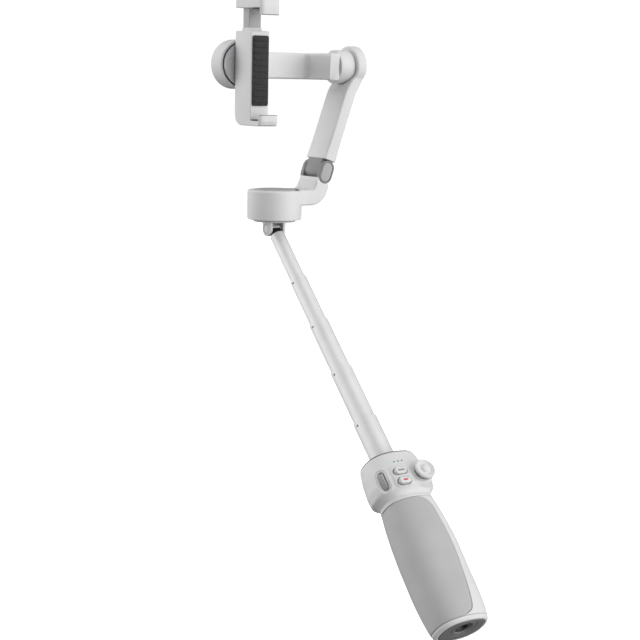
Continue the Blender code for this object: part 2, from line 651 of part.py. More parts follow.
def clamp_frame():
    """The lower jaw and the spine behind the phone, in one piece."""
    points = [(y, -z) for y, z in jaw_profile(3.2, 4.4, 8)]
    seat = points[0][1]
    points += [(SPINE_BACK, SPINE_TOP), (SPINE_FRONT, SPINE_TOP), (SPINE_FRONT, seat)]
    frame = outline("clamp_frame", points, 2 * JAW_HALF)
    soften(frame, 0.7, limit=50)
    finish(frame, WHITE, ROLL_AXIS, turn=(90, 0, 90))
    shaft_way = block("slider_way", (-4.9, -4.0, -31), (4.9, 4.6, SPINE_TOP + 2))
    combine(frame, helper(shaft_way, ROLL_AXIS), "DIFFERENCE")
    pads = [
        ("lower_jaw_pad", (-6.7, LIP_BACK + GAP, -PHONE_WIDTH / 2 - PAD),
         (6.7, SPINE_FRONT - GAP, -PHONE_WIDTH / 2)),
        ("back_pad", (-6.2, PHONE_BACK + 0.05, -27), (6.2, SPINE_FRONT - GAP, 19)),
    ]
    for name, low, high in pads:
        finish(block(name, low, high, bevel=0.25), BLACK, ROLL_AXIS)


def upper_jaw():
    half = PHONE_WIDTH / 2
    points = jaw_profile(3.8, 8.2, 6)
    points += [(SPINE_BACK, half + PAD + GAP)]
    jaw = outline("clamp_upper_jaw", points, 2 * JAW_HALF)
    soften(jaw, 0.7, limit=50)
    finish(jaw, WHITE, JAW_AXIS, turn=(90, 0, 90))
    slider = block("jaw_slider", (-4.6, -3.7, -4), (4.6, 4.3, half + 3))
    combine(jaw, helper(slider, JAW_AXIS))
    pad = block("upper_jaw_pad", (-6.7, LIP_BACK + GAP, half), (6.7, SPINE_FRONT - GAP, half + PAD),
                bevel=0.25)
    finish(pad, BLACK, JAW_AXIS)


def clamp_spring():
    """The spring between the spine's floor and the jaw's slider."""
    per_turn = 8
    count = SPRING_TURNS * per_turn + 1
    curve = bpy.data.curves.new("clamp_spring", "CURVE")
    curve.dimensions = "3D"
    curve.bevel_depth = SPRING_WIRE * MM
    curve.bevel_resolution = 0
    curve.use_fill_caps = True
    spline = curve.splines.new("POLY")
    spline.points.add(count - 1)
    for i, point in enumerate(spline.points):
        a = 2 * math.pi * i / per_turn
        z = SPRING_LOW + (SPRING_HIGH - SPRING_LOW) * i / (count - 1)
        point.co = (SPRING_R * math.cos(a) * MM, SPRING_R * math.sin(a) * MM, z * MM, 1)
    spring = bpy.data.objects.new("clamp_spring", curve)
    PARTS.objects.link(spring)
    finish(spring, STEEL, ROLL_AXIS, (0, 0.3, 0))


clear_scene()
PARTS = collection(COLLECTION)
CUTTERS = collection("construction_bodies")

WHITE = material("white_shell", (0.78, 0.78, 0.78), 0.42)
GREY = material("grey_plastic", (0.42, 0.42, 0.42), 0.5)
RUBBER = material("grip_rubber", (0.36, 0.36, 0.36), 0.65)
DARK = material("dark_plastic", (0.09, 0.09, 0.09), 0.5)
BLACK = material("black_rubber", (0.02, 0.02, 0.02), 0.7)
ALUMINIUM = material("rod_aluminium", (0.72, 0.72, 0.73), 0.3, 0.8)
STEEL = material("steel", (0.55, 0.55, 0.56), 0.3, 1.0)
COPPER = material("motor_winding", (0.6, 0.3, 0.16), 0.4, 0.9)
BRASS = material("brass_insert", (0.66, 0.5, 0.25), 0.35, 1.0)
BLUE = material("battery_sleeve", (0.08, 0.2, 0.42), 0.45)
BOARD = material("circuit_board", (0.03, 0.2, 0.09), 0.5)

HANDLE_AXIS = empty("handle_axis", None, turn=(-ROD_LEAN, 0, 0))
LEAN = math.radians(ROD_LEAN)
HEAD = empty("head_tilt_axis", None, (0, REACH * math.sin(LEAN), REACH * math.cos(LEAN)))
PAN = empty("pan_axis", HEAD)
FOLD_AXIS = empty("fold_axis", PAN, (FOLD[0], 0, FOLD[1]))
TILT_AXIS = empty("tilt_axis", FOLD_AXIS, (-FOLD[0], 0, TILT_Z - FOLD[1]))
ROLL_AXIS_FIXED = empty("roll_axis_fixed", TILT_AXIS, (ROLL_X, 0, ROLL_Z - TILT_Z))
ROLL_AXIS = empty("roll_axis", ROLL_AXIS_FIXED)
JAW_AXIS = empty("jaw_axis", ROLL_AXIS)

handle_body()
control_housing()
handle_internals()
buttons()
joystick()
zoom_wheel()
trigger_and_power()
telescopic_rod()
rod_knuckle()
pan_base()
pan_arm()
upper_arm()
roll_arm()
roll_rotor()
clamp_frame()
upper_jaw()
clamp_spring()
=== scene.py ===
"""The looks of the phone stabilizer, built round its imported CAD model.

Pieces are made in local axis systems in millimetres and placed in the row frame in metres.
HANDLE runs up the handle from the tripod socket, ROD down the rod from the head-tilt pin, and
HEAD stands upright on that pin.
"""
import json
import math

import bmesh
import bpy
import numpy as np
from mathutils import Matrix, Vector


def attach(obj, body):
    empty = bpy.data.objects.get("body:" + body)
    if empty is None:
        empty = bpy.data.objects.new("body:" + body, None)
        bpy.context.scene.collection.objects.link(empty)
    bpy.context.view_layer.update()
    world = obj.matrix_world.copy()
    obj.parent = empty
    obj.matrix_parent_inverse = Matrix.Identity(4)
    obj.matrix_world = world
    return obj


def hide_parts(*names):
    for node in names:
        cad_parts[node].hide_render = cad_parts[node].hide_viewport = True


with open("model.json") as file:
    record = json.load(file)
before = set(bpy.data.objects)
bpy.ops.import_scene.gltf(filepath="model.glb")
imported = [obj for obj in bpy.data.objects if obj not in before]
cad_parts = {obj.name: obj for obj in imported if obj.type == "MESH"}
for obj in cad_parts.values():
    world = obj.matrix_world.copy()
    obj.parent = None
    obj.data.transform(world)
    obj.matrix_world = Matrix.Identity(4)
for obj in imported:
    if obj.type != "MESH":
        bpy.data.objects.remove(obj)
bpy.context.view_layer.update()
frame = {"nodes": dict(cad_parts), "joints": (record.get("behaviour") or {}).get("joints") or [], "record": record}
JOINTS = {joint["name"]: joint for joint in frame["joints"]}
MM = 0.001
SIDES = 96                      # round a large turned piece
FINE = 48                       # round a small one


# ---------------- axis systems

def axes(origin, x, z):
    """A local axis system in mm, as a matrix to the frame's metres."""
    x, z = Vector(x).normalized(), Vector(z).normalized()
    turn = Matrix((x, z.cross(x), z)).transposed().to_4x4()
    return Matrix.Translation(origin) @ turn @ Matrix.Scale(MM, 4)


def section_point(angle, radius):
    """A point of the handle's section: the angle is from its front, the radius a plain circle's."""
    across, ahead = np.sin(np.radians(angle)), np.cos(np.radians(angle))
    power = 2 / SQUARE
    return (OVAL[0] * radius * np.sign(across) * np.abs(across)**power,
            -OVAL[1] * radius * np.sign(ahead) * np.abs(ahead)**power)


def lean_back(height):
    """How far the handle's section lies behind the rod's axis at a height."""
    return np.interp(height, *np.transpose(LEAN_BACK))


def facing(angle):
    """A turn that points local Z sideways out of the handle and local Y towards the head."""
    a = math.radians(angle)
    rows = ((math.cos(a), math.sin(a), 0), (0, 0, 1), (math.sin(a), -math.cos(a), 0))
    return Matrix(rows).transposed().to_4x4()


def seat(angle, height, radius):
    """On the handle's side, at an angle in degrees from its front."""
    x, y = section_point(angle, radius)
    return HANDLE @ Matrix.Translation((x, y + lean_back(height), height)) @ facing(angle)


def on_face(x, height, depth):
    """On the handle's flat front face; depth is from the handle's axis."""
    return HANDLE @ Matrix.Translation((x, -depth, height)) @ facing(0)


def from_pivot(joint):
    return (Vector(JOINTS[joint]["pos_m"]) - PIVOT) / MM


OVAL = (1.07, 0.85)             # the handle's section is wider across than it is deep
SQUARE = 2.4                    # exponent of its superellipse
LEAN_BACK = [(0.0, 2.4), (30.0, 1.8), (57.0, 0.0), (84.0, -1.0), (98.0, -1.6), (117.0, -1.2)]
UP = Vector(JOINTS["rod_slide_5"]["axis"])
PIVOT = Vector(JOINTS["head_tilt"]["pos_m"])
HANDLE = axes((0, 0, 0), (1, 0, 0), UP)
ROD = axes(PIVOT, (1, 0, 0), UP)
HEAD = axes(PIVOT, (1, 0, 0), (0, 0, 1))
FOLD = from_pivot("arm_fold")
TILT = from_pivot("tilt_motor")
ROLL = from_pivot("roll_motor")
AT_ROLL = HEAD @ Matrix.Translation((ROLL.x, 0, ROLL.z))
ALONG_X = Matrix.Rotation(math.radians(90), 4, "Y")        # local Z to +X
ALONG_Y = Matrix.Rotation(math.radians(-90), 4, "X")       # local Z to +Y
SIDE_VIEW = Matrix(((0, 0, 1, 0), (1, 0, 0, 0), (0, 1, 0, 0), (0, 0, 0, 1)))   # XY to YZ
FRONT_VIEW = Matrix(((1, 0, 0, 0), (0, 0, -1, 0), (0, 1, 0, 0), (0, 0, 0, 1)))  # XY to XZ


# ---------------- shapes

def rounded(points, closed=True, steps=6):
    """An outline with its corners rounded; a corner is (x, y) or (x, y, radius)."""
    result = []
    for i, corner in enumerate(points):
        here = Vector(corner[:2])
        radius = corner[2] if len(corner) > 2 else 0
        if not radius or (not closed and i in (0, len(points) - 1)):
            result.append(tuple(here))
            continue
        back = Vector(points[i - 1][:2]) - here
        ahead = Vector(points[(i + 1) % len(points)][:2]) - here
        half = back.angle(ahead) / 2
        cut = min(radius / math.tan(half), 0.49 * back.length, 0.49 * ahead.length)
        radius = cut * math.tan(half)
        centre = here + (back.normalized() + ahead.normalized()).normalized() * radius / math.sin(half)
        first = here + back.normalized() * cut - centre
        last = here + ahead.normalized() * cut - centre
        start = math.atan2(first.y, first.x)
        sweep = (math.atan2(last.y, last.x) - start + math.pi) % (2 * math.pi) - math.pi
        for k in range(steps + 1):
            a = start + sweep * k / steps
            result.append((centre.x + radius * math.cos(a), centre.y + radius * math.sin(a)))
    return result


def box(left, right, low, high, radius=0):
    """A rectangle's outline, its corners rounded."""
    return rounded([(left, low, radius), (right, low, radius), (right, high, radius),
                    (left, high, radius)])


def half_round(radius):
    """The lower half of a circle, from left to right."""
    return [(radius * math.cos(math.radians(a)), radius * math.sin(math.radians(a)))
            for a in range(180, 361, 6)]


def stadium(length, width, steps=12):
    """A slot shape along X, centred."""
    run = (length - width) / 2
    ends = [(run, -90), (-run, 90)]
    return [(x + width / 2 * math.cos(math.radians(start + 180 * k / steps)),
             width / 2 * math.sin(math.radians(start + 180 * k / steps)))
            for x, start in ends for k in range(steps + 1)]


def circle(radius, sides=FINE):
    return [(radius * math.cos(2 * math.pi * k / sides), radius * math.sin(2 * math.pi * k / sides))
            for k in range(sides)]


def loft(rings, closed=False):
    """Skins a row of rings that have equal numbers of points; closed joins last to first."""
    count = len(rings[0])
    verts = [Vector(p) for ring in rings for p in ring]
    faces = []
    rows = len(rings) if closed else len(rings) - 1
    for i in range(rows):
        a, b = i * count, (i + 1) % len(rings) * count
        for k in range(count):
            n = (k + 1) % count
            faces.append((a + k, a + n, b + n, b + k))
    if not closed:
        faces.append(tuple(range(count))[::-1])
        faces.append(tuple(range(len(verts) - count, len(verts))))
    return verts, faces


def lathe(profile, sides=SIDES):
    """Turns (radius, height) points about Z: a closed ring, or from axis to axis."""
    rings = []
    for radius, height in profile:
        radius = max(radius, 0.01)
        rings.append([(x, y, height) for x, y in circle(radius, sides)])
    return loft(rings, closed=all(p[0] > 0 for p in profile))


def oval(shape, beyond=0.0):
    """Gives a turned shape the handle's section; what lies nearer the axis stays round."""
    verts = []
    for x, y, z in shape[0]:
        radius = math.hypot(x, y)
        if radius > beyond:
            x, y = section_point(math.degrees(math.atan2(x, -y)), radius)
            y += lean_back(z)
        verts.append((x, y, z))
    return verts, shape[1]


def inset(outline, distance):
    """The outline moved inwards along its corners' bisectors; it runs anticlockwise."""
    result = []
    for i, point in enumerate(outline):
        here = Vector(point)
        a = (here - Vector(outline[i - 1])).normalized()
        b = (Vector(outline[(i + 1) % len(outline)]) - here).normalized()
        inward = Vector((-a.y - b.y, a.x + b.x)).normalized()
        spread = max(inward.dot(Vector((-a.y, a.x))), 0.6)
        result.append(tuple(here + inward * distance / spread))
    return result


def slab(outline, low, high, edge=0.0, steps=4, layers=1):
    """An outline in XY extruded along Z, its two rims rounded by edge."""
    area = sum(a[0] * b[1] - b[0] * a[1] for a, b in zip(outline, outline[1:] + outline[:1]))
    outline = outline if area > 0 else outline[::-1]
    levels = []
    for k in range(steps + 1 if edge else 1):
        a = math.pi / 2 * k / steps
        levels.append((edge * (1 - math.sin(a)), edge * (1 - math.cos(a))))
    bottom = [(low + rise, depth) for depth, rise in levels]
    middle = [(low + edge + (high - low - 2 * edge) * k / layers, 0) for k in range(1, layers)]
    top = [(high - rise, depth) for depth, rise in levels[::-1]]
    rings = [[(x, y, z) for x, y in (inset(outline, depth) if depth else outline)]
             for z, depth in bottom + middle + top]
    return loft(rings)


def moved(shape, place):
    return [place @ Vector(v) for v in shape[0]], shape[1]


def joined(*shapes):
    verts, faces = [], []
    for more, surfaces in shapes:
        faces += [tuple(k + len(verts) for k in face) for face in surfaces]
        verts += list(more)
    return verts, faces


def temporary(name, shape, place):
    mesh = bpy.data.meshes.new(name)
    mesh.from_pydata([place @ Vector(v) for v in shape[0]], [], shape[1])
    bm = bmesh.new()
    bm.from_mesh(mesh)
    bmesh.ops.remove_doubles(bm, verts=bm.verts, dist=2e-7)
    bmesh.ops.recalc_face_normals(bm, faces=bm.faces)
    bm.to_mesh(mesh)
    bm.free()
    obj = bpy.data.objects.new(name, mesh)
    bpy.context.scene.collection.objects.link(obj)
    return obj


def cut(obj, shape, place):
    tool = temporary("tool", shape, place)
    boolean = obj.modifiers.new("cut", "BOOLEAN")
    boolean.operation = "DIFFERENCE"
    boolean.solver = "EXACT"
    boolean.object = tool
    bpy.context.view_layer.update()
    solved = obj.evaluated_get(bpy.context.evaluated_depsgraph_get())
    mesh = bpy.data.meshes.new_from_object(solved)
    obj.modifiers.clear()
    obj.data = mesh
    bpy.data.objects.remove(tool, do_unlink=True)


def piece(name, shape, place, body, finish, nodes=(), cuts=(), crease=38):
    """One rigid piece: it rides on a body, stands for CAD nodes and has a finish of MATERIALS."""
    obj = temporary(name, shape, place)
    for hole in cuts:
        cut(obj, *hole)
    obj.data.name = name
    obj.data.shade_smooth()
    obj.data.set_sharp_from_angle(angle=math.radians(crease))
    obj.data.materials.clear()
    obj.data.materials.append(MATERIALS[finish])
    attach(obj, body)
    if nodes:
        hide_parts(*nodes)
    return obj


# ---------------- materials

def add_node(tree, kind, values, **settings):
    """A node with its settings; a value that is a socket is linked."""
    made = tree.nodes.new(kind)
    for key, value in settings.items():
        setattr(made, key, value)
    for socket, value in dict(values).items():
        if isinstance(value, bpy.types.NodeSocket):
            tree.links.new(value, made.inputs[socket])
        else:
            made.inputs[socket].default_value = value
    return made


class Graph:
    """Adds nodes to one material and links them."""

    def __init__(self, name):
        self.material = bpy.data.materials.new(name)
        self.material.use_nodes = True
        self.tree = self.material.node_tree
        self.shader = self.tree.nodes["Principled BSDF"]

    def node(self, kind, values=(), **settings):
        return add_node(self.tree, kind, values, **settings)

    def place(self, scale=(1, 1, 1), turn=0.0):
        """The piece's own coordinates, turned about X and stretched."""
        coordinates = self.node("ShaderNodeTexCoord")
        mapping = self.node("ShaderNodeMapping", {"Vector": coordinates.outputs["Object"],
                                                  "Scale": scale, "Rotation": (turn, 0, 0)})
        return mapping.outputs["Vector"]

    def noise(self, scale, detail=2.0, vector=None):
        values = {"Scale": scale, "Detail": detail, "Vector": vector or self.place()}
        return self.node("ShaderNodeTexNoise", values).outputs["Fac"]

    def span(self, value, low, high, start=0.3, end=0.7):
        values = {"Value": value, "From Min": start, "From Max": end, "To Min": low, "To Max": high}
        return self.node("ShaderNodeMapRange", values).outputs["Result"]

    def tint(self, factor, first, second):
        mix = self.node("ShaderNodeMix", data_type="RGBA")
        self.tree.links.new(factor, mix.inputs[0])
        mix.inputs[6].default_value = (*first, 1)
        mix.inputs[7].default_value = (*second, 1)
        return mix.outputs[2]

    def feed(self, socket, value):
        self.tree.links.new(value, self.shader.inputs[socket])

    def bump(self, height, strength, depth):
        """depth in mm"""
        values = {"Height": height, "Strength": strength, "Distance": depth * MM}
        self.feed("Normal", self.node("ShaderNodeBump", values).outputs["Normal"])

    def fix(self, **values):
        names = {"rough": "Roughness", "metal": "Metallic", "coat": "Coat Weight",
                 "coat_rough": "Coat Roughness", "sheen": "Sheen Weight",
                 "specular": "Specular IOR Level", "glow": "Emission Strength",
                 "sheen_rough": "Sheen Roughness", "anisotropy": "Anisotropic"}
        for key, value in values.items():
            self.shader.inputs[names[key]].default_value = value


def shade(colour, factor):
    return tuple(min(1.0, c * factor) for c in colour)


def moulded(name, colour, rough, grain=5200, depth=0.02, strength=0.25, mottle=0.025, wear=1.12,
            **fixed):
    """A moulded part: slight mottling, fine spark-eroded grain and edges rubbed lighter."""
    graph = Graph(name)
    graph.fix(**fixed)
    base = graph.tint(graph.span(graph.noise(45), 0, 1), shade(colour, 1 - mottle),
                      shade(colour, 1 + mottle))
    edges = graph.node("ShaderNodeNewGeometry").outputs["Pointiness"]
    rubbed = graph.node("ShaderNodeMix", {0: graph.span(edges, 0.0, 0.5, 0.53, 0.62)},
                        data_type="RGBA")
    graph.tree.links.new(base, rubbed.inputs[6])
    rubbed.inputs[7].default_value = (*shade(colour, wear), 1)
    graph.feed("Base Color", rubbed.outputs[2])
    graph.feed("Roughness", graph.span(graph.noise(260, 4), rough - 0.05, rough + 0.06))
    graph.bump(graph.noise(grain, 3), strength, depth)
    return graph.material


def soft_rubber(name, colour, rough):
    """Soft-touch rubber: a dense field of tiny pits under a dull sheen."""
    graph = Graph(name)
    graph.fix(sheen=0.25, sheen_rough=0.45, specular=0.4)
    pits = graph.node("ShaderNodeTexVoronoi", {"Vector": graph.place(), "Scale": 1900})
    graph.feed("Base Color", graph.tint(graph.span(graph.noise(60, 4), 0, 1), shade(colour, 0.965),
                                        shade(colour, 1.035)))
    graph.feed("Roughness", graph.span(graph.noise(500, 4), rough - 0.06, rough + 0.06))
    graph.bump(pits.outputs["Distance"], 0.35, 0.05)
    return graph.material


def drawn_metal(name, colour, rough, metal, lines=(1, 1, 0.02), lean=0.0, scale=5200):
    """Metal with fine lines along one direction, from drawing or brushing."""
    graph = Graph(name)
    graph.fix(metal=metal, anisotropy=0.35)
    streaks = graph.noise(scale, 3, graph.place(lines, lean))
    broad = graph.noise(160, 3, graph.place(lines, lean))
    graph.feed("Base Color", graph.tint(graph.span(broad, 0, 1), shade(colour, 0.97),
                                        shade(colour, 1.03)))
    graph.feed("Roughness", graph.span(streaks, rough - 0.07, rough + 0.09))
    graph.bump(streaks, 0.12, 0.012)
    return graph.material


def wound_wire(name, colour):
    """Lacquered wire laid in turns round the motor's axis."""
    graph = Graph(name)
    graph.fix(metal=0.9, coat=0.4)
    turns = graph.node("ShaderNodeTexWave", {"Vector": graph.place(), "Scale": 700,
                                             "Distortion": 0.6}, bands_direction="DIAGONAL")
    graph.feed("Base Color", graph.tint(turns.outputs["Fac"], shade(colour, 0.55), colour))
    graph.feed("Roughness", graph.span(graph.noise(700), 0.3, 0.5))
    graph.bump(turns.outputs["Fac"], 0.6, 0.15)
    return graph.material


def circuit(name, colour):
    """Green lacquer with copper tracks just showing under it."""
    graph = Graph(name)
    graph.fix(coat=0.5, coat_rough=0.2)
    tracks = graph.node("ShaderNodeTexBrick", {"Vector": graph.place(), "Scale": 260,
                                               "Mortar Size": 0.03})
    graph.feed("Base Color", graph.tint(tracks.outputs["Fac"], colour, shade(colour, 2.2)))
    graph.feed("Roughness", graph.span(graph.noise(400), 0.35, 0.5))
    graph.bump(tracks.outputs["Fac"], 0.4, 0.03)
    return graph.material


def printed(name, colour, glow=0.0):
    """Ink or a lit window, a little uneven."""
    graph = Graph(name)
    graph.feed("Base Color", graph.tint(graph.span(graph.noise(900), 0, 1), shade(colour, 0.9), colour))
    graph.feed("Roughness", graph.span(graph.noise(1500), 0.35, 0.5))
    graph.bump(graph.noise(4000), 0.1, 0.01)
    graph.shader.inputs["Emission Color"].default_value = (*colour, 1)
    graph.fix(glow=glow)
    return graph.material


LEAN = math.atan2(UP.y, UP.z)
# Blender adds ".001" to a name that a CAD material has already; the key leaves it off.
MATERIALS = {made.name.split(".")[0]: made for made in (
    moulded("white_shell", (0.72, 0.72, 0.725), 0.42),
    moulded("grey_plastic", (0.42, 0.42, 0.425), 0.46),
    moulded("hinge_grey", (0.22, 0.22, 0.223), 0.42),
    soft_rubber("grip_rubber", (0.47, 0.47, 0.473), 0.5),
    moulded("dark_plastic", (0.055, 0.055, 0.056), 0.42, wear=1.5),
    moulded("base_grey", (0.19, 0.19, 0.191), 0.45),
    moulded("rim_grey", (0.20, 0.20, 0.203), 0.42),
    soft_rubber("black_rubber", (0.012, 0.012, 0.012), 0.6),
    moulded("black_plastic", (0.014, 0.014, 0.014), 0.4, wear=1.6),
    drawn_metal("rod_aluminium", (0.80, 0.80, 0.805), 0.36, 0.25, lean=LEAN),
    drawn_metal("steel", (0.56, 0.56, 0.57), 0.28, 1.0, (1, 1, 1)),
    wound_wire("motor_winding", (0.66, 0.32, 0.15)),
    drawn_metal("brass_insert", (0.62, 0.47, 0.24), 0.34, 1.0, (1, 1, 1)),
    moulded("battery_sleeve", (0.07, 0.18, 0.42), 0.3, coat=0.4),
    circuit("circuit_board", (0.02, 0.16, 0.07)),
    printed("mark_grey", (0.26, 0.26, 0.26)),
    printed("mark_red", (0.62, 0.03, 0.03)),
    printed("light_green", (0.22, 0.72, 0.32), 0.35),
    printed("light_off", (0.03, 0.03, 0.03)),
)}
SLOT_OF = dict.fromkeys(("hinge_grey", "mark_grey", "mark_red"), "grey_plastic")
SLOT_OF.update(dict.fromkeys(("base_grey", "rim_grey", "light_green", "light_off"), "dark_plastic"))


def finish_cad_nodes():
    """Every CAD node that still shows, or lies inside, takes its slot's finish."""
    for part in frame["record"]["subparts"]:
        node = frame["nodes"][part["node"]]
        node.data.materials.clear()
        node.data.materials.append(MATERIALS[part["material_slot"]])


# ---------------- grip

GRIP_LOW = 3.0
GRIP_TOP = 84.25
GRIP_RADII = [(2.6, 17.2), (5.2, 17.7), (11, 18.3), (22, 18.9), (36, 19.0), (57, 18.8), (69, 18.0),
              (78, 17.1), (84.3, 16.2)]     # height, radius
PANEL_RIGHT = [(2.5, 3), (11, 9.5), (19, 14), (29, 18.5), (39, 22), (49, 23.5), (58, 23), (85, 22)]
PANEL_LEFT = -165.0
PANEL_CORNERS = (5.5, 9.0)                  # radii at its lower and upper right corners
SEAM = 0.35                                 # open groove between panel and shell


def through(points, at):
    """A smooth curve through (x, y) points, read at the given x."""
    x, y = np.array(points, float).T
    slope = np.gradient(y, x)
    i = np.clip(np.searchsorted(x, at) - 1, 0, len(x) - 2)
    h = x[i + 1] - x[i]
    t = (at - x[i]) / h
    return ((2 * t**3 - 3 * t**2 + 1) * y[i] + (t**3 - 2 * t**2 + t) * h * slope[i]
            + (3 * t**2 - 2 * t**3) * y[i + 1] + (t**3 - t**2) * h * slope[i + 1])


def panel_edge(heights):
    """The panel's right edge in degrees, turning in at its corners."""
    turn_in = 0
    for radius, run in zip(PANEL_CORNERS, (heights - GRIP_LOW, GRIP_TOP - heights)):
        rise = np.clip(radius - run, 0, radius)
        turn_in = turn_in + radius - np.sqrt(radius**2 - rise**2)
    return through(PANEL_RIGHT, heights) - np.degrees(turn_in / through(GRIP_RADII, heights))


def crowded(count, power=2.2):
    """Numbers from 0 to 1 that crowd together at both ends."""
    t = np.linspace(-1, 1, count)
    return (1 + np.sign(t) * (1 - (1 - np.abs(t))**power)) / 2


def skin(left, right, wall, edge, columns, rows):
    """A part of the grip's skin between two edges, given as functions of height."""
    heights = GRIP_LOW + (GRIP_TOP - GRIP_LOW) * crowded(rows)
    spread = crowded(columns)
    radius = through(GRIP_RADII, heights)[:, None]
    first, last = left(heights)[:, None], right(heights)[:, None]
    angle = np.radians(first + (last - first) * spread[None, :])
    run = np.radians(last - first) * radius
    inside = np.minimum(spread, 1 - spread)[None, :] * run
    ends = np.minimum(heights - GRIP_LOW, GRIP_TOP - heights)[:, None]
    lack = np.clip(edge - np.minimum(inside, ends), 0, edge)
    outer = radius - edge + np.sqrt(edge**2 - lack**2)
    verts, faces = [], []
    for face in (outer, np.broadcast_to(radius - wall, outer.shape)):
        x, y = section_point(np.degrees(angle), face)
        y = y + lean_back(heights)[:, None]
        verts += [(x[i, k], y[i, k], heights[i]) for i in range(rows) for k in range(columns)]
    inner = rows * columns
    for i in range(rows - 1):
        for k in range(columns - 1):
            a = i * columns + k
            faces.append((a, a + 1, a + columns + 1, a + columns))
            faces.append(tuple(inner + j for j in (a, a + columns, a + columns + 1, a + 1)))
    rim = [k for k in range(columns)] + [i * columns + columns - 1 for i in range(1, rows)]
    rim += [inner - 1 - k for k in range(1, columns)] + [i * columns for i in range(rows - 2, 0, -1)]
    faces += [(a, b, inner + b, inner + a) for a, b in zip(rim, rim[1:] + rim[:1])]
    return verts, faces


def grip():
    def degrees(gap, heights):
        return np.degrees(gap / through(GRIP_RADII, heights))

    piece("grip_panel_skin",
          skin(lambda z: PANEL_LEFT + degrees(SEAM / 2, z),
               lambda z: panel_edge(z) - degrees(SEAM / 2, z), 1.6, 0.7, 90, 80),
          HANDLE, "handle", "grip_rubber", ["grip_panel"])
    piece("grip_back_skin",
          skin(lambda z: panel_edge(z) + degrees(SEAM / 2, z),
               lambda z: PANEL_LEFT + 360 - degrees(SEAM / 2, z), 1.6, 0.45, 90, 80),
          HANDLE, "handle", "white_shell", ["grip_back_shell"])
    foot = rounded([(17.2, 2.75, 0.3), (16.9, 1.6, 1), (15.8, 0.2, 0.8), (14.3, 0.2, 0.3), (14.3, 2.0),
                    (15.0, 2.75)])
    piece("foot_ring", oval(lathe(foot)), HANDLE, "handle", "white_shell", ["handle_foot"])
    plate = rounded([(14.0, 2.4), (14.0, 0.35, 0.3), (13.2, 0.02, 1), (9.0, 0.02), (8.7, 0.3, 0.1),
                     (8.2, 0.3, 0.1), (7.9, 0.02), (6.2, 0.02, 0.5), (5.3, 0.9), (5.3, 2.4)])
    piece("base_disc", oval(lathe(plate), beyond=9.5), HANDLE, "handle", "base_grey", ["base_plate"])
    thread = [(3.2 + 0.28 * (k % 2), 0.9 + 0.42 * k) for k in range(15)]
    insert = [(0, 8.5), (6.5, 8.5), (6.5, 3.0), (5.0, 3.0), (5.0, 0.7), (4.0, 0.55)] + thread
    piece("tripod_thread", lathe(insert + [(0, 7.2)], FINE), HANDLE, "handle", "dark_plastic",
          ["tripod_insert"])


# ---------------- control section

BUTTON_X = -6.2
BUTTON_DEPTH = 17.9
BUTTONS = {"mode_button": 101.0, "record_button": 94.0}
BUTTON_SIZE = (8.4, 4.4)
ISLAND = (-6.0, 98.2, 12.4, 15.0)           # centre and size of the raised field round the buttons
JOYSTICK = (8.8, 97.9)                      # across the front face, up the handle
JOYSTICK_DEPTH = 18.6
WHEEL = (-55.0, 98.6, 15.0)
WHEEL_R = 6.55
LIGHTS_X = (-9.4, -6.6, -3.8, -1.0)
LIGHTS_HEIGHT = 108.6
PORT = (90.0, 97.0)
POWER = (90.0, 104.5)
POWER_R = 18.6
TRIGGER = (12.4, 107.4)                     # behind the axis, up the handle
TRIGGER_HEIGHT = 101.0
HANDLE_TOP = 117.35
BUTTON_WELL = 4.2
POWER_WELL = 4.6
TRIGGER_POCKET = 4.2


def step(distance, width):
    """1 inside a signed distance, 0 outside, with a soft edge."""
    t = np.clip(0.5 - distance / width, 0, 1)
    return t * t * (3 - 2 * t)


def slot_distance(a, b, length, width):
    """Signed distance to a slot shape along a."""
    past = np.maximum(np.abs(a) - (length - width) / 2, 0)
    return np.hypot(past, b) - width / 2


def plate_distance(a, b, width, height, radius):
    """Signed distance to a rectangle with round corners."""
    past_a = np.maximum(np.abs(a) - width / 2 + radius, 0)
    past_b = np.maximum(np.abs(b) - height / 2 + radius, 0)
    return np.hypot(past_a, past_b) - radius


def front_relief(x, height):
    """The front's raised field with its two wells, and where the joystick's mound and hole lie."""
    across, up, wide, tall = ISLAND
    relief = 0.6 * step(plate_distance(x - across, height - up, wide, tall, 3.0), 1.3)
    for level in BUTTONS.values():
        well = slot_distance(x - BUTTON_X, height - level, BUTTON_SIZE[0] + 0.6, BUTTON_SIZE[1] + 0.6)
        relief = relief - BUTTON_WELL * step(well, 0.35)
    reach = np.hypot(x - JOYSTICK[0], height - JOYSTICK[1])
    return relief, step(reach - 8.0, 2.6), step(reach - 6.2, 0.7)


def side_relief(x, y, height):
    """The wheel's slot, the port, the power button's well and the trigger's pocket."""
    across = side_distance(x, y, WHEEL)
    up = height - WHEEL[1]
    relief = 0.25 * step(slot_distance(up, across, 17.4, 9.4), 1.2)
    relief = relief - 0.7 * step(slot_distance(up, across, 15.4, 7.2), 1.2)
    relief = relief - 3.2 * step(slot_distance(up, across, 12.6, 4.2), 0.5)
    right = np.where(x > 0, y, 99)
    port = slot_distance(right - lean_back(PORT[1]), height - PORT[1], 9.3, 3.7)
    relief = relief - 2.2 * step(port, 0.4)
    reach = np.hypot(right - lean_back(POWER[1]), height - POWER[1])
    relief = relief + 0.3 * step(reach - 5.0, 1.4) - POWER_WELL * step(reach - 3.4, 0.4)
    behind = np.where(y > 0, x, 99)
    pocket = plate_distance(behind, height - TRIGGER_HEIGHT, 11.2, 18.2, 2.0)
    return relief - TRIGGER_POCKET * step(pocket, 0.5)


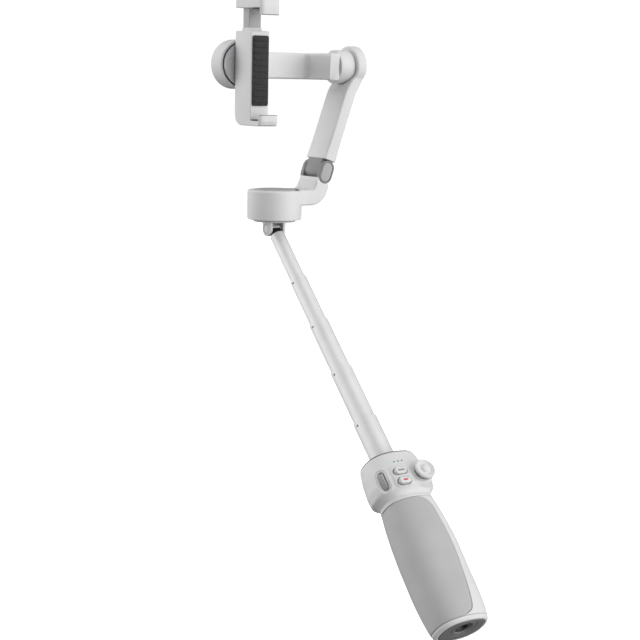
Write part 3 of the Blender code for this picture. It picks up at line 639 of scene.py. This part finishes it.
def side_distance(x, y, where):
    """How far a point lies sideways from a seat on the handle's side."""
    angle = math.radians(where[0])
    centre_x, centre_y = section_point(where[0], where[2])
    across = (x - centre_x) * math.cos(angle) + (y - centre_y - lean_back(where[1])) * math.sin(angle)
    outward = x * math.sin(angle) - y * math.cos(angle)
    return np.where(outward > 0, across, 99)


def control_section():
    outline = rounded([(14.4, 84.45), (16.15, 84.45, 0.5), (16.3, 85.2, 0.6), (15.6, 87.0, 1.6),
                       (17.2, 89.3, 2.5), (19.6, 91.4, 2.6), (20.1, 97.0, 9), (19.1, 107.0, 30),
                       (17.4, 115.4, 4), (16.9, 116.4, 0.6), (14.4, 116.4)], closed=False)
    path = [Vector(p) for p in outline]
    profile = []
    for a, b in zip(path, path[1:]):
        parts = max(1, math.ceil((b - a).length / (0.34 if min(a.x, b.x) > 15 else 3)))
        profile += [a.lerp(b, k / parts) for k in range(parts)]
    profile.append(path[-1])
    degrees = np.unique(np.concatenate([np.arange(-84, 60, 1.0), np.arange(60, 76, 3.0),
                                        np.arange(76, 106, 1.0), np.arange(106, 162, 4.0),
                                        np.arange(162, 199, 1.0), np.arange(199, 276, 4.0)]))
    radius = np.array([p.x for p in profile])[:, None]
    height = np.array([p.y for p in profile])[:, None]
    x, y = section_point(degrees[None, :], radius)
    y = y + lean_back(height)
    plain_front = y < -4
    raised, mound, hole = front_relief(x, height)
    change = np.where(plain_front, raised, 0) + side_relief(x, y, height)
    change = np.where((height > 89.5) & (height < 115.8) & (radius > 15.5), change, 0)
    scale = 1 + change / np.maximum(np.hypot(x, y), 1)
    x, y = x * scale, y * scale
    platform = -(JOYSTICK_DEPTH - 0.3) + 1.2 * hole
    lifted = y + (np.minimum(platform, y) - y + 1.2 * hole) * mound
    y = np.where(plain_front & (height > 88.0) & (radius > 15.5), lifted, y)
    rings = [list(zip(x[i], y[i], [profile[i].y] * len(degrees))) for i in range(len(profile))]
    piece("control_shell", loft(rings, closed=True), HANDLE, "handle", "white_shell",
          ["control_housing", "button_surround", "zoom_wheel_bezel"], crease=50)
    bezel = rounded([(16.7, 116.55, 0.2), (16.8, 117.0, 0.3), (16.2, HANDLE_TOP, 0.4),
                     (9.2, HANDLE_TOP, 0.5), (8.7, 116.6, 0.4), (8.7, 114.8), (15.2, 114.8),
                     (15.2, 116.55)])
    piece("rod_collar", oval(lathe(bezel), beyond=10.5), HANDLE, "handle", "rim_grey", ["top_bezel"])


def controls():
    for name, level in BUTTONS.items():
        place = on_face(BUTTON_X, level, BUTTON_DEPTH)
        cap = slab(stadium(*BUTTON_SIZE), -1.2, 1.75, 0.55, layers=2)
        piece(name + "_cap", cap, place, name, "white_shell", [name])
        recording = name == "record_button"
        length = 3.4 if recording else 5.0
        mark = slab(stadium(length, 1.1, 6), 1.7, 1.79, 0.03, steps=2)
        piece(name + "_mark", mark, place, name, "mark_red" if recording else "mark_grey")
    for k, x in enumerate(LIGHTS_X):
        lamp = lathe([(0, 0.12), (0.4, 0.1), (0.55, 0.0), (0.55, -0.9), (0, -0.9)], 24)
        place = on_face(x, LIGHTS_HEIGHT, surface_depth(x, LIGHTS_HEIGHT))
        nodes = ["led_window"] if k == 0 else []
        piece(f"status_light_{k + 1}", lamp, place, "handle",
              "light_green" if k == 0 else "light_off", nodes)
    joystick()
    zoom_wheel()
    hidden_side()


def surface_depth(x, height):
    """Depth of the housing's plain front; its radius tapers towards the rod."""
    radius = np.interp(height, [97, 107, 115.4], [20.1, 19.1, 17.4])
    share = 1 - abs(x / (OVAL[0] * radius))**SQUARE
    return OVAL[1] * radius * share**(1 / SQUARE) - lean_back(height)


def joystick():
    place = on_face(*JOYSTICK, JOYSTICK_DEPTH)
    collar = rounded([(6.7, -0.9), (6.7, 0.1, 0.3), (6.2, 0.5, 0.3), (5.2, 0.2, 0.2), (4.4, -0.9)])
    piece("joystick_base", lathe(collar, FINE), place, "handle", "white_shell", ["joystick_collar"])
    # The dark grey cone under the cap is painted shadow: it darkens the space beneath the joystick's disc.
    shadow_cone = [(0, 1.9), (2.3, 1.9), (2.5, 1.6), (2.3, 1.3), (3.0, 1.1), (3.2, 0.8), (3.0, 0.5), (3.5, 0.2),
            (3.5, -0.5), (0, -0.5)]
    piece("joystick_shadow_cone", lathe(shadow_cone, FINE), place, "joystick_yoke", "hinge_grey")
    cap = rounded([(0, 5.25), (1.7, 5.15, 1.5), (2.55, 4.55, 0.5), (2.75, 3.95, 0.2), (4.2, 3.85, 0.3),
                   (4.55, 4.3, 0.25), (5.2, 4.35, 0.3), (5.5, 4.75, 0.3), (6.35, 4.8, 0.6),
                   (6.85, 4.1, 0.5), (6.8, 3.0, 0.5), (5.9, 2.2, 0.4), (2.2, 2.0, 0.3), (1.9, 1.8),
                   (0, 1.8)], closed=False)
    piece("joystick_disc", lathe(cap, SIDES), place, "joystick_cap", "white_shell", ["joystick_cap"])


def zoom_wheel():
    ribs = 30
    outline = []
    for k in range(ribs * 8):
        a = 2 * math.pi * k / (ribs * 8)
        ridge = 0.5 + 0.5 * math.cos(ribs * a)
        reach = WHEEL_R - 0.5 * (1 - ridge**0.6)
        outline.append((reach * math.cos(a), reach * math.sin(a)))
    place = seat(*WHEEL) @ ALONG_X
    axle = lathe([(0, 2.9), (1.1, 2.9), (1.1, -2.9), (0, -2.9)], FINE)
    wheel = joined(slab(outline, -1.65, 1.65, 0.3, layers=2), axle)
    piece("zoom_wheel_ribbed", wheel, place, "zoom_wheel", "grey_plastic", ["zoom_wheel"])


def hidden_side():
    """Charging port and power button on the right side, trigger at the back."""
    place = seat(PORT[0], PORT[1], 18.0)
    rim = slab(stadium(8.9, 3.3), -2.5, 2.4, 0.15)
    mouth = (slab(stadium(8.2, 2.6), -0.8, 4.0), place)
    tongue = slab(box(-3.2, 3.2, -0.35, 0.35, 0.2), -1.0, 1.6, 0.1)
    piece("port_shell", rim, place, "handle", "steel", ["usb_port"], cuts=[mouth])
    piece("port_tongue", tongue, place, "handle", "black_plastic")
    cap = rounded([(0, 1.55), (2.0, 1.55, 0.6), (2.6, 1.75, 0.3), (3.05, 1.3, 0.4), (3.05, -0.9),
                   (0, -0.9)], closed=False)
    piece("power_cap", lathe(cap, FINE), seat(*POWER, POWER_R), "power_button", "grey_plastic",
          ["power_button"])
    blade = rounded([(1.3, 1.5, 0.5), (1.9, -1.8, 2), (3.4, -5.0, 3), (4.35, -9.0, 3),
                     (4.1, -13.5, 0.8), (1.8, -13.5, 0.5), (1.4, -8.0, 2), (0.4, -3.0, 2),
                     (-0.8, 1.5, 0.4)])
    pivot = HANDLE @ Matrix.Translation((0, *TRIGGER)) @ SIDE_VIEW
    ridges = [slab(box(y - 0.25, y + 0.3, z - 0.35, z + 0.35, 0.2), -3.4, 3.4, 0.2)
              for y, z in ((4.05, -8.2), (4.13, -9.8), (4.1, -11.4))]
    piece("trigger_blade", joined(slab(blade, -4.5, 4.5, 0.6), *ridges), pivot, "trigger",
          "grey_plastic", ["trigger"])


# ---------------- telescopic rod

RIMS = [6.3, 44.5, 81.3, 120.0, 160.1]      # each section's upper rim below the head-tilt pin
LAPS = [10.2, 10.0, 9.9, 9.9, 18.0]
TUBE_R = 5.1
TUBE_STEP = 0.72
TUBE_WALL = 0.42
HANDLE_RIM = 193.0
GROOVE_SIDE = 22.0                          # degrees from the front
LOCK_ANGLE = -84.0
LOCK_R = 1.15
PIN_R = 0.42


def telescopic_rod():
    for i, (top, lower, lap) in enumerate(zip(RIMS, RIMS[1:] + [HANDLE_RIM], LAPS)):
        radius = TUBE_R + i * TUBE_STEP
        end = -(lower + lap)
        body = f"rod_{i + 1}"
        profile = rounded([(radius, end), (radius, -top - 0.9), (radius, -top, 0.18),
                           (radius - TUBE_WALL, -top, 0.12), (radius - TUBE_WALL, end)])
        angles = np.radians(np.arange(0, 360, 2.5))
        rings = []
        for reach, z in profile:
            groove = np.exp(-((np.degrees(angles) - GROOVE_SIDE) / 1.6)**2) * (0.3 if i > 2 else 0)
            face = reach - groove * (reach > radius - 0.2)
            rings.append(list(zip(face * np.sin(angles), -face * np.cos(angles), [z] * len(angles))))
        piece(f"rod_tube_{i + 1}", loft(rings, closed=True), ROD, body, "rod_aluminium",
              [f"rod_section_{i + 1}"])
        if i:
            outer, inner = radius - TUBE_WALL, radius - TUBE_STEP + 0.04
            ring = [(outer, -top - 0.12), (outer, -top - 1.6), (inner, -top - 1.6),
                    (inner, -top - 0.12)]
            piece(f"rod_wiper_{i + 1}", lathe(ring), ROD, body, "black_plastic")
            stud(f"rod_lock_{i + 1}", body, radius, -top - 3.4, LOCK_ANGLE, LOCK_R)
    for k, (angle, drop) in enumerate([(-83, 9.6), (-83, 12.3), (48, 10.2)]):
        stud(f"rod_pin_{k + 1}", "rod_1", TUBE_R, -RIMS[0] - drop + 4.5, angle, PIN_R)


def stud(name, body, radius, height, angle, size):
    """A small dark lock button, flush in the tube's wall."""
    a = math.radians(angle)
    turn = Matrix(((math.cos(a), math.sin(a), 0), (0, 0, 1), (math.sin(a), -math.cos(a), 0)))
    place = Matrix.Translation((radius * math.sin(a), -radius * math.cos(a), height))
    profile = rounded([(0, 0.0), (size * 0.6, 0.0, 0.1), (size, -0.12, 0.08), (size, -0.38), (0, -0.38)],
                      closed=False)
    piece(name, lathe(profile, 32), ROD @ place @ turn.transposed().to_4x4(), body, "dark_plastic")


# ---------------- head-tilt fork

EAR_IN = 4.0
EAR_OUT = 6.3
EAR_R = 5.1
PLATE_LOW = 4.9


def fork():
    barrel = lathe(rounded([(0, 3.6), (3.0, 3.6, 0.4), (3.0, -3.6, 0.4), (0, -3.6)], closed=False), FINE)
    piece("knuckle_barrel", barrel, ROD @ ALONG_X, "rod_1", "white_shell", ["rod_knuckle"])
    web = slab(rounded([(-2.6, -1), (2.6, -1), (3.3, -8, 0.5), (-3.3, -8, 0.5)]), -3.2, 3.2, 0.5)
    piece("knuckle_web", web, ROD @ SIDE_VIEW, "rod_1", "black_plastic")
    plug = rounded([(0, -5.9), (4.3, -5.9), (5.0, -5.9, 0.3), (5.05, -6.25), (4.4, -6.3), (4.4, -15),
                    (0, -15)], closed=False)
    piece("knuckle_plug", lathe(plug, FINE), ROD, "rod_1", "black_plastic")
    plate = rounded([(0, 6.1), (14.2, 6.1, 0.2), (14.7, 5.8, 0.3), (14.2, PLATE_LOW, 0.7),
                     (0, PLATE_LOW)], closed=False)
    notches = [(slab(box(-0.7, 0.7, -0.7, 0.7, 0.2), 4.0, 5.6),
                HEAD @ Matrix.Rotation(math.radians(a), 4, "Z") @ Matrix.Translation((0, -14.4, 0)))
               for a in (-12, -20)]
    piece("fork_plate", lathe(plate), HEAD, "pan_base", "white_shell", ["pan_base_plate"], cuts=notches)
    for name, side in (("left", -1), ("right", 1)):
        low, high = sorted((side * EAR_IN, side * EAR_OUT))
        ear = slab(half_round(EAR_R) + [(EAR_R, 5.2), (-EAR_R, 5.2)], low, high, 0.45)
        turn = ALONG_X if side > 0 else Matrix.Rotation(math.pi, 4, "Z") @ ALONG_X
        well = moved(lathe([(0, 9), (3.55, 9), (3.55, 1.75), (0, 1.75)], FINE),
                     Matrix.Translation((0, 0, EAR_IN)))
        piece(f"fork_ear_{name}", ear, HEAD @ SIDE_VIEW, "pan_base", "white_shell",
              cuts=[(well, HEAD @ turn)])
        cap = rounded([(0, 6.45), (2.6, 6.4, 1), (3.3, 6.0, 0.3), (3.3, 5.6), (0, 5.6)], closed=False)
        piece(f"fork_pin_cap_{name}", lathe(cap, FINE), HEAD @ turn, "pan_base", "white_shell",
              ["tilt_pin"] if side > 0 else [])
    # A black block under the plate, between the ears, makes the gap there dark.
    block = slab(rounded([(-4.6, 3.5, 0.4), (4.6, 3.5, 0.4), (4.6, 5.0), (-4.6, 5.0)]), -3.9, 3.9, 0.2)
    piece("fork_dark_block", block, HEAD @ SIDE_VIEW, "pan_base", "black_rubber")


# ---------------- pan motor and lower arm

PAN_R = 18.4
PAN_LOW = 6.45
PAN_TOP = 26.5
CAP_R = 13.6
ARM_HALF = 12.0
ARM_THICK = 10.4
ELBOW = (22.0, 29.8)
ELBOW_R = 8.5
SLANT = math.radians(19.1)
CHEEK_REACH = 8.3                           # from the fold pin to the arms' ends
CHEEK_R = 5.2
CHEEK_IN = 8.6
TONGUE_R = 4.85
CRADLE_TOP = 5.1                            # below the fold pin; clear of the turning tongue


def arm_point(along, out=0.0):
    """From the fold pin: along the arms' slant, and outwards across it (X, Z)."""
    return Vector((FOLD.x + along * math.sin(SLANT) + out * math.cos(SLANT),
                   FOLD.z + along * math.cos(SLANT) - out * math.sin(SLANT)))


def bar_section(half, wide, corner, steps=5):
    """A bar's cross-section: (across, along Y), anticlockwise."""
    corner = min(corner, wide * 0.98, half * 0.98)
    return rounded([(half, -wide, corner), (half, wide, corner), (-half, wide, corner),
                    (-half, -wide, corner)], steps=steps)


def bar(stations):
    """A bar that runs in the XZ plane; a station is (point, across, half, wide, corner)."""
    rings = []
    for point, across, half, wide, corner in stations:
        across = Vector(across).normalized()
        rings.append([(point[0] + a * across.x, y, point[1] + a * across.y)
                      for a, y in bar_section(half, wide, corner)])
    return loft(rings)


def pan_motor():
    drum = rounded([(0, PAN_TOP - 0.7), (CAP_R + 0.35, PAN_TOP - 0.7, 0.1),
                    (CAP_R + 0.35, PAN_TOP, 0.25), (PAN_R, PAN_TOP, 1.5),
                    (PAN_R, PAN_LOW, 0.8), (15.3, PAN_LOW, 0.2),
                    (15.3, PAN_LOW + 1.4), (0, PAN_LOW + 1.4)], closed=False)
    level = ELBOW[1] - ELBOW_R
    half = ARM_THICK / 2
    stations = [((x, level), (0, -1), half, wide, 1.3)
                for x, wide in ((8.0, 14.0), (12.6, 14.0), (14.0, 13.1), (15.4, 12.5), (17.0, 12.15),
                                (19.0, ARM_HALF), (21.9, ARM_HALF))]
    for k in range(13):
        a = math.radians(-90 + (90 - math.degrees(SLANT)) * k / 12)
        out = Vector((math.cos(a), math.sin(a)))
        stations.append((Vector(ELBOW) + ELBOW_R * out, out, half, ARM_HALF, 1.3))
    out = Vector((math.cos(SLANT), -math.sin(SLANT)))
    stations.append((arm_point(-CHEEK_REACH - 0.35), out, half, ARM_HALF, 1.3))
    stations.append((arm_point(-CHEEK_REACH), out, half - 0.35, ARM_HALF - 0.35, 1.1))
    piece("pan_drum", lathe(drum), HEAD, "pan_arm", "white_shell", ["pan_housing"])
    piece("lower_arm", bar(stations), HEAD, "pan_arm", "white_shell")
    cap = rounded([(0, PAN_TOP + 0.5), (CAP_R - 1.0, PAN_TOP + 0.5, 0.5), (CAP_R, PAN_TOP + 0.1, 0.4),
                   (CAP_R, PAN_TOP - 0.6), (0, PAN_TOP - 0.6)], closed=False)
    piece("pan_cap", lathe(cap), HEAD, "pan_arm", "grey_plastic", ["pan_top_cap"])


def fold_hinge():
    slanted = HEAD @ Matrix.Translation((FOLD.x, 0, FOLD.z)) @ Matrix.Rotation(SLANT, 4, "Y")
    front = slanted @ FRONT_VIEW
    face = front @ Matrix.Rotation(math.pi / 2, 4, "Z")
    outline = stadium(2 * CHEEK_REACH - 0.8, 2 * CHEEK_R)
    for name, side in (("front", -1), ("rear", 1)):
        low, high = sorted((-side * CHEEK_IN, -side * ARM_HALF))
        cheek = slab(outline, low, high, 0.35)
        outer = -side * ARM_HALF
        low, high = sorted((outer, outer + side * 0.55))
        groove = slab(stadium(2 * CHEEK_REACH - 2.6, 2 * CHEEK_R - 1.9), low - 0.01 * (side > 0),
                      high + 0.01 * (side < 0))
        low, high = sorted((outer + side * 0.05, outer + side * 1.2))
        disc = slab(stadium(2 * CHEEK_REACH - 3.4, 2 * CHEEK_R - 2.7), low, high, 0.3)
        piece(f"hinge_cheek_{name}", cheek, face, "pan_arm", "hinge_grey", [f"fold_cheek_{name}"],
              cuts=[(groove, face)])
        piece(f"hinge_disc_{name}", disc, face, "pan_arm", "grey_plastic")
    bed = [(-4.55, -CHEEK_REACH - 0.3), (4.55, -CHEEK_REACH - 0.3),
           (4.55, -CHEEK_REACH + 0.8), (-0.6, -CRADLE_TOP), (-4.55, -CRADLE_TOP)]
    cheeks = [(slab(outline, low, high), face)
              for low, high in ((-ARM_HALF - 0.5, -CHEEK_IN), (CHEEK_IN, ARM_HALF + 0.5))]
    piece("hinge_cradle", slab(rounded([(x, y, 0.3) for x, y in bed]), -ARM_HALF + 0.4, ARM_HALF - 0.4),
          front, "pan_arm", "white_shell", cuts=cheeks)
    tongue = slab(half_round(TONGUE_R) + [(4.6, CHEEK_REACH), (-4.6, CHEEK_REACH)],
                  -CHEEK_IN + 0.15, CHEEK_IN - 0.15, 0.3)
    piece("hinge_tongue", tongue, front, "upper_arm", "hinge_grey", ["fold_tongue"])


# ---------------- upper arm and tilt motor

TILT_DISC_R = 14.2
TILT_DISC_X = (56.4, 64.1)
ROTOR_R = 11.4
ROTOR_X = (44.8, 56.1)


def upper_arm():
    middle = sum(TILT_DISC_X) / 2
    thick = (TILT_DISC_X[1] - TILT_DISC_X[0]) / 2
    slanted = Vector((math.cos(SLANT), -math.sin(SLANT)))
    upright = Vector((1, 0))
    stations = [(arm_point(CHEEK_REACH), slanted, 4.35, ARM_HALF - 0.35, 1.0),
                (arm_point(CHEEK_REACH + 0.35), slanted, 4.7, ARM_HALF, 1.3)]
    stations += [(arm_point(s), slanted, 4.7 - 0.5 * min(1, (s - 8.6) / 14), ARM_HALF, 1.3)
                 for s in (14, 22, 34, 46, 54)]
    bend = [arm_point(54), arm_point(63), Vector((middle, 101.5)), Vector((middle, 108))]
    for k in range(1, 12):
        t = k / 12
        point = ((1 - t)**3 * bend[0] + 3 * t * (1 - t)**2 * bend[1] + 3 * t * t * (1 - t) * bend[2]
                 + t**3 * bend[3])
        out = slanted.lerp(upright, t * t * (3 - 2 * t))
        wide = ARM_HALF
        if point.y > TILT.z - TILT_DISC_R:
            wide = max(wide, math.sqrt(max(TILT_DISC_R**2 - (point.y - TILT.z)**2, 0)))
        stations.append((point, out, 4.2 + (thick - 4.2) * t, wide, 1.4))
    for k in range(20):
        a = math.radians(-6 + 94 * k / 19)
        wide = TILT_DISC_R * math.cos(a)
        edge = max(0.35, min(1, wide / 5))
        stations.append((Vector((middle, TILT.z + TILT_DISC_R * math.sin(a))), upright,
                         thick * (1 - 0.3 * (1 - edge)), wide, 1.5))
    axis = HEAD @ Matrix.Translation((0, 0, TILT.z)) @ ALONG_X
    well = (lathe([(0, 30), (ROTOR_R + 0.5, 30), (ROTOR_R + 0.5, TILT_DISC_X[0] + 0.01),
                   (0, TILT_DISC_X[0] + 0.01)]), axis)
    floor = TILT_DISC_X[1] - 1.0
    pocket = (lathe([(0, 70), (12.2, 70), (12.2, floor), (0, floor)]), axis)
    piece("upper_arm_shell", bar(stations), HEAD, "upper_arm", "white_shell", ["upper_arm"],
          cuts=[well, pocket])
    face = TILT_DISC_X[1]
    cover = rounded([(0, face - 0.1), (8.2, face - 0.1, 0.2), (8.5, face - 0.4, 0.1),
                     (8.9, face - 0.4, 0.1), (9.2, face - 0.1, 0.2), (11.3, face - 0.1, 0.6),
                     (11.9, face - 0.6, 0.2), (11.9, face - 0.95), (0, face - 0.95)], closed=False)
    piece("tilt_cover", lathe(cover), axis, "upper_arm", "grey_plastic", ["tilt_motor_cover"])
    cup = rounded([(0, ROTOR_X[0]), (ROTOR_R, ROTOR_X[0], 0.8), (ROTOR_R, ROTOR_X[1], 0.3),
                   (9.9, ROTOR_X[1]), (9.9, 46.6), (0, 46.6)], closed=False)
    piece("tilt_cup", lathe(cup), axis, "roll_arm", "white_shell", ["tilt_rotor_cup"])


# ---------------- roll arm and roll motor

ROLL_R = 16.5
ROLL_FRONT = 12.6
ROLL_BACK = 27.0


def roll_arm():
    half, wide = 4.0, 9.0
    x, y, turn = 40.5, 23.0, 8.5
    path = [((x, -9.5), (1, 0)), ((x, -9.15), (1, 0)), ((x, 0), (1, 0)), ((x, y - turn - 0.1), (1, 0))]
    for k in range(13):
        a = math.pi / 2 * k / 12
        path.append(((x - turn + turn * math.cos(a), y - turn + turn * math.sin(a)),
                     (math.cos(a), math.sin(a))))
    path += [((20, y), (0, 1)), ((6, y), (0, 1)), ((-1.5, y), (0, 1)), ((-6, y), (0, 1))]
    rings = []
    for k, ((px, py), (ox, oy)) in enumerate(path):
        trim = 0.35 if k == 0 else 0
        section = bar_section(half - trim, wide - trim, 1.8)
        rings.append([(px + a * ox, py + a * oy, b) for a, b in section])
    piece("roll_arm_bar", loft(rings), HEAD @ Matrix.Translation((0, 0, TILT.z)), "roll_arm",
          "white_shell", ["roll_arm"])
    axis = AT_ROLL @ ALONG_Y
    back = ROLL_BACK
    cup = rounded([(0, back - 0.5), (11.6, back - 0.5, 0.1), (11.6, back, 0.2), (ROLL_R, back, 1.6),
                   (ROLL_R, ROLL_FRONT, 0.5), (ROLL_R - 1.5, ROLL_FRONT, 0.2), (ROLL_R - 1.5, back - 2),
                   (0, back - 2)], closed=False)
    piece("roll_drum", lathe(cup), axis, "roll_arm", "white_shell", ["roll_motor_housing"])
    cap = rounded([(0, back - 0.05), (8.0, back - 0.05, 0.2), (8.3, back - 0.3, 0.1),
                   (8.7, back - 0.3, 0.1), (9.0, back - 0.05, 0.2), (10.8, back - 0.05, 0.4),
                   (11.2, back - 0.6), (0, back - 0.6)], closed=False)
    piece("roll_cap", lathe(cap), axis, "roll_arm", "grey_plastic")


# ---------------- clamp

JAW_HALF = 7.1
PHONE_HALF = 35.75
LIP_FRONT = -23.4
LIP_BACK = -20.9
SPINE_FRONT = -10.6
SPINE_BACK = 9.9
SPINE_TOP = 22.0
FRONT_ROUND = 2.2


def rounded_front(shape):
    """The lip's two upright front edges, rounded without thinning the lip's root."""
    verts = []
    for x, y, z in shape[0]:
        past = max(0.0, abs(z) - (JAW_HALF - FRONT_ROUND))
        share = min(1.0, max(0.0, (LIP_BACK - x) / (LIP_BACK - LIP_FRONT)))
        back = FRONT_ROUND - math.sqrt(max(FRONT_ROUND**2 - past**2, 0))
        verts.append((x + back * share * 0.8, y, z))
    return verts, shape[1]


def clamp():
    place = AT_ROLL @ SIDE_VIEW
    h = PHONE_HALF
    lower = rounded([(LIP_FRONT, -h + 2.5, 0.35), (LIP_FRONT, -h - 1.0, 2.0), (-22.4, -h - 3.9, 1.6),
                     (-20.0, -h - 4.4, 2.0), (SPINE_BACK, -h - 4.4, 8), (SPINE_BACK, SPINE_TOP, 1.2),
                     (SPINE_FRONT, SPINE_TOP, 1.2), (SPINE_FRONT, -h - 0.95, 0.8),
                     (LIP_BACK, -h - 0.95, 0.3), (-22.5, -h + 2.95, 0.3)])
    way = (slab(box(-4.9, 4.9, -4.0, 4.6), -31, SPINE_TOP + 2), AT_ROLL)
    piece("clamp_body", rounded_front(slab(lower, -JAW_HALF, JAW_HALF, 0.55, layers=8)), place, "clamp",
          "white_shell", ["clamp_frame"], cuts=[way])
    top = h + 8.15
    upper = rounded([(LIP_FRONT, h - 3.2, 0.35), (LIP_FRONT, h + 1.6, 2.0), (-22.9, top - 1.6, 1.6),
                     (-21.4, top, 1.6), (SPINE_BACK, top, 6), (SPINE_BACK, h + 1.25, 0.9),
                     (LIP_BACK, h + 0.95, 0.3), (-22.5, h - 3.6, 0.3)])
    piece("jaw_body", rounded_front(slab(upper, -JAW_HALF, JAW_HALF, 0.55, layers=8)), place,
          "upper_jaw", "white_shell", ["clamp_upper_jaw"])
    slider = slab(box(-4.6, 4.6, -3.7, 4.3, 0.5), -4, h + 3, 0.3)
    piece("jaw_slider", slider, AT_ROLL, "upper_jaw", "grey_plastic")
    for name, body, s, tip in (("lower_jaw_pad", "clamp", -1, 3.15),
                               ("upper_jaw_pad", "upper_jaw", 1, 3.75)):
        lining = rounded([(-22.75, s * (h - tip + 0.2), 0.1), (-22.3, s * (h - tip), 0.15),
                          (-20.1, s * h, 0.4), (-11.0, s * h, 0.2), (-11.0, s * (h + 0.9)),
                          (-20.9, s * (h + 0.9))])
        piece(name + "_lining", slab(lining, -6.5, 6.5, 0.12), place, body, "black_rubber", [name])
    pad = slab(box(-6.1, 6.1, -27, 19, 1.5), 10.65, 11.7, 0.3)
    ribs = [slab(box(-5.2, 5.2, z - 0.8, z + 0.8, 0.7), 11.6, 12.3, 0.3) for z in range(-24, 18, 4)]
    piece("back_pad_ribbed", joined(pad, *ribs), AT_ROLL @ FRONT_VIEW, "clamp", "black_rubber",
          ["back_pad"])


# ---------------- camera, light and floor

AMBIENT = 0.12
LOBES = [((0.45, -0.88, 0.2), 1.75, 0.45, 0.97),     # towards, strength, cosine where it starts, ends
         ((-0.72, 0.68, 0.15), 1.3, 0.45, 0.97),
         ((0.0, 0.2, 1.0), 0.45, 0.3, 1.0)]
CAMERA = ((-0.60870, -0.76893, 0.32461), (0.54169, 0.82819, -0.14379),     # place, forward,
          (0.06170, 0.13142, 0.98940))                                     # up
LENS = 96.38
AIM = Vector((0.0, 0.12, 0.16))             # what the lamps point at
LAMPS = [("key_right", (0.6, -0.75, 0.5), 0.7, 1.0),                       # name, place, size, watts
         ("fill_left", (-0.7, 0.95, 0.4), 0.7, 0.8), ("top", (0.0, 0.1, 1.2), 0.8, 0.8)]
FLOOR_Z = -0.35


def look_from(place, forward, up):
    back = -Vector(forward).normalized()
    right = Vector(up).cross(back).normalized()
    turn = Matrix((right, back.cross(right), back)).transposed().to_4x4()
    return Matrix.Translation(place) @ turn


def surroundings():
    """White to the camera; as light, brightest in front on the right, at the back left and above."""
    world = bpy.data.worlds.new("studio")
    bpy.context.scene.world = world
    world.use_nodes = True
    tree = world.node_tree
    tree.nodes["Background"].inputs["Color"].default_value = (1, 1, 1, 1)

    def node(kind, inputs, **settings):
        return add_node(tree, kind, inputs, **settings).outputs

    direction = node("ShaderNodeTexCoord", {})["Generated"]
    total = AMBIENT
    for towards, strength, start, end in LOBES:
        aligned = node("ShaderNodeVectorMath", {0: direction, 1: Vector(towards).normalized()},
                       operation="DOT_PRODUCT")["Value"]
        lobe = node("ShaderNodeMapRange", {"Value": aligned, "From Min": start, "From Max": end,
                                           "To Max": strength}, interpolation_type="SMOOTHSTEP")
        total = node("ShaderNodeMath", {0: lobe["Result"], 1: total})["Value"]
    rays = node("ShaderNodeLightPath", {})["Is Camera Ray"]
    seen = node("ShaderNodeMix", {0: rays, 2: total, 3: 1.05})[0]
    tree.links.new(seen, tree.nodes["Background"].inputs["Strength"])


def studio():
    camera = bpy.data.objects.new("camera", bpy.data.cameras.new("camera"))
    bpy.context.scene.collection.objects.link(camera)
    camera.matrix_world = look_from(*CAMERA)
    camera.data.sensor_width = 36
    camera.data.lens = LENS
    bpy.context.scene.camera = camera
    bpy.context.scene.view_settings.view_transform = "Standard"
    for name, place, size, power in LAMPS:
        light = bpy.data.lights.new(name, "AREA")
        light.energy = power
        light.size = size
        lamp = bpy.data.objects.new(name, light)
        bpy.context.scene.collection.objects.link(lamp)
        lamp.matrix_world = look_from(place, AIM - Vector(place), (0, 0.01, 1))
    surroundings()
    floor = temporary("floor", ([(-6, -6, 0), (6, -6, 0), (6, 6, 0), (-6, 6, 0)], [(0, 1, 2, 3)]),
                      Matrix.Translation((0, 0, FLOOR_Z)))
    paint = Graph("floor_paint")
    paint.feed("Base Color", paint.tint(paint.noise(3), (0.90, 0.90, 0.90), (0.92, 0.92, 0.92)))
    paint.shader.inputs["Emission Color"].default_value = (1, 1, 1, 1)
    paint.fix(rough=0.9, glow=1.0)
    floor.visible_diffuse = floor.visible_glossy = floor.visible_shadow = False
    floor.data.materials.append(paint.material)


finish_cad_nodes()
grip()
control_section()
controls()
telescopic_rod()
fork()
pan_motor()
fold_hinge()
upper_arm()
roll_arm()
clamp()
studio()
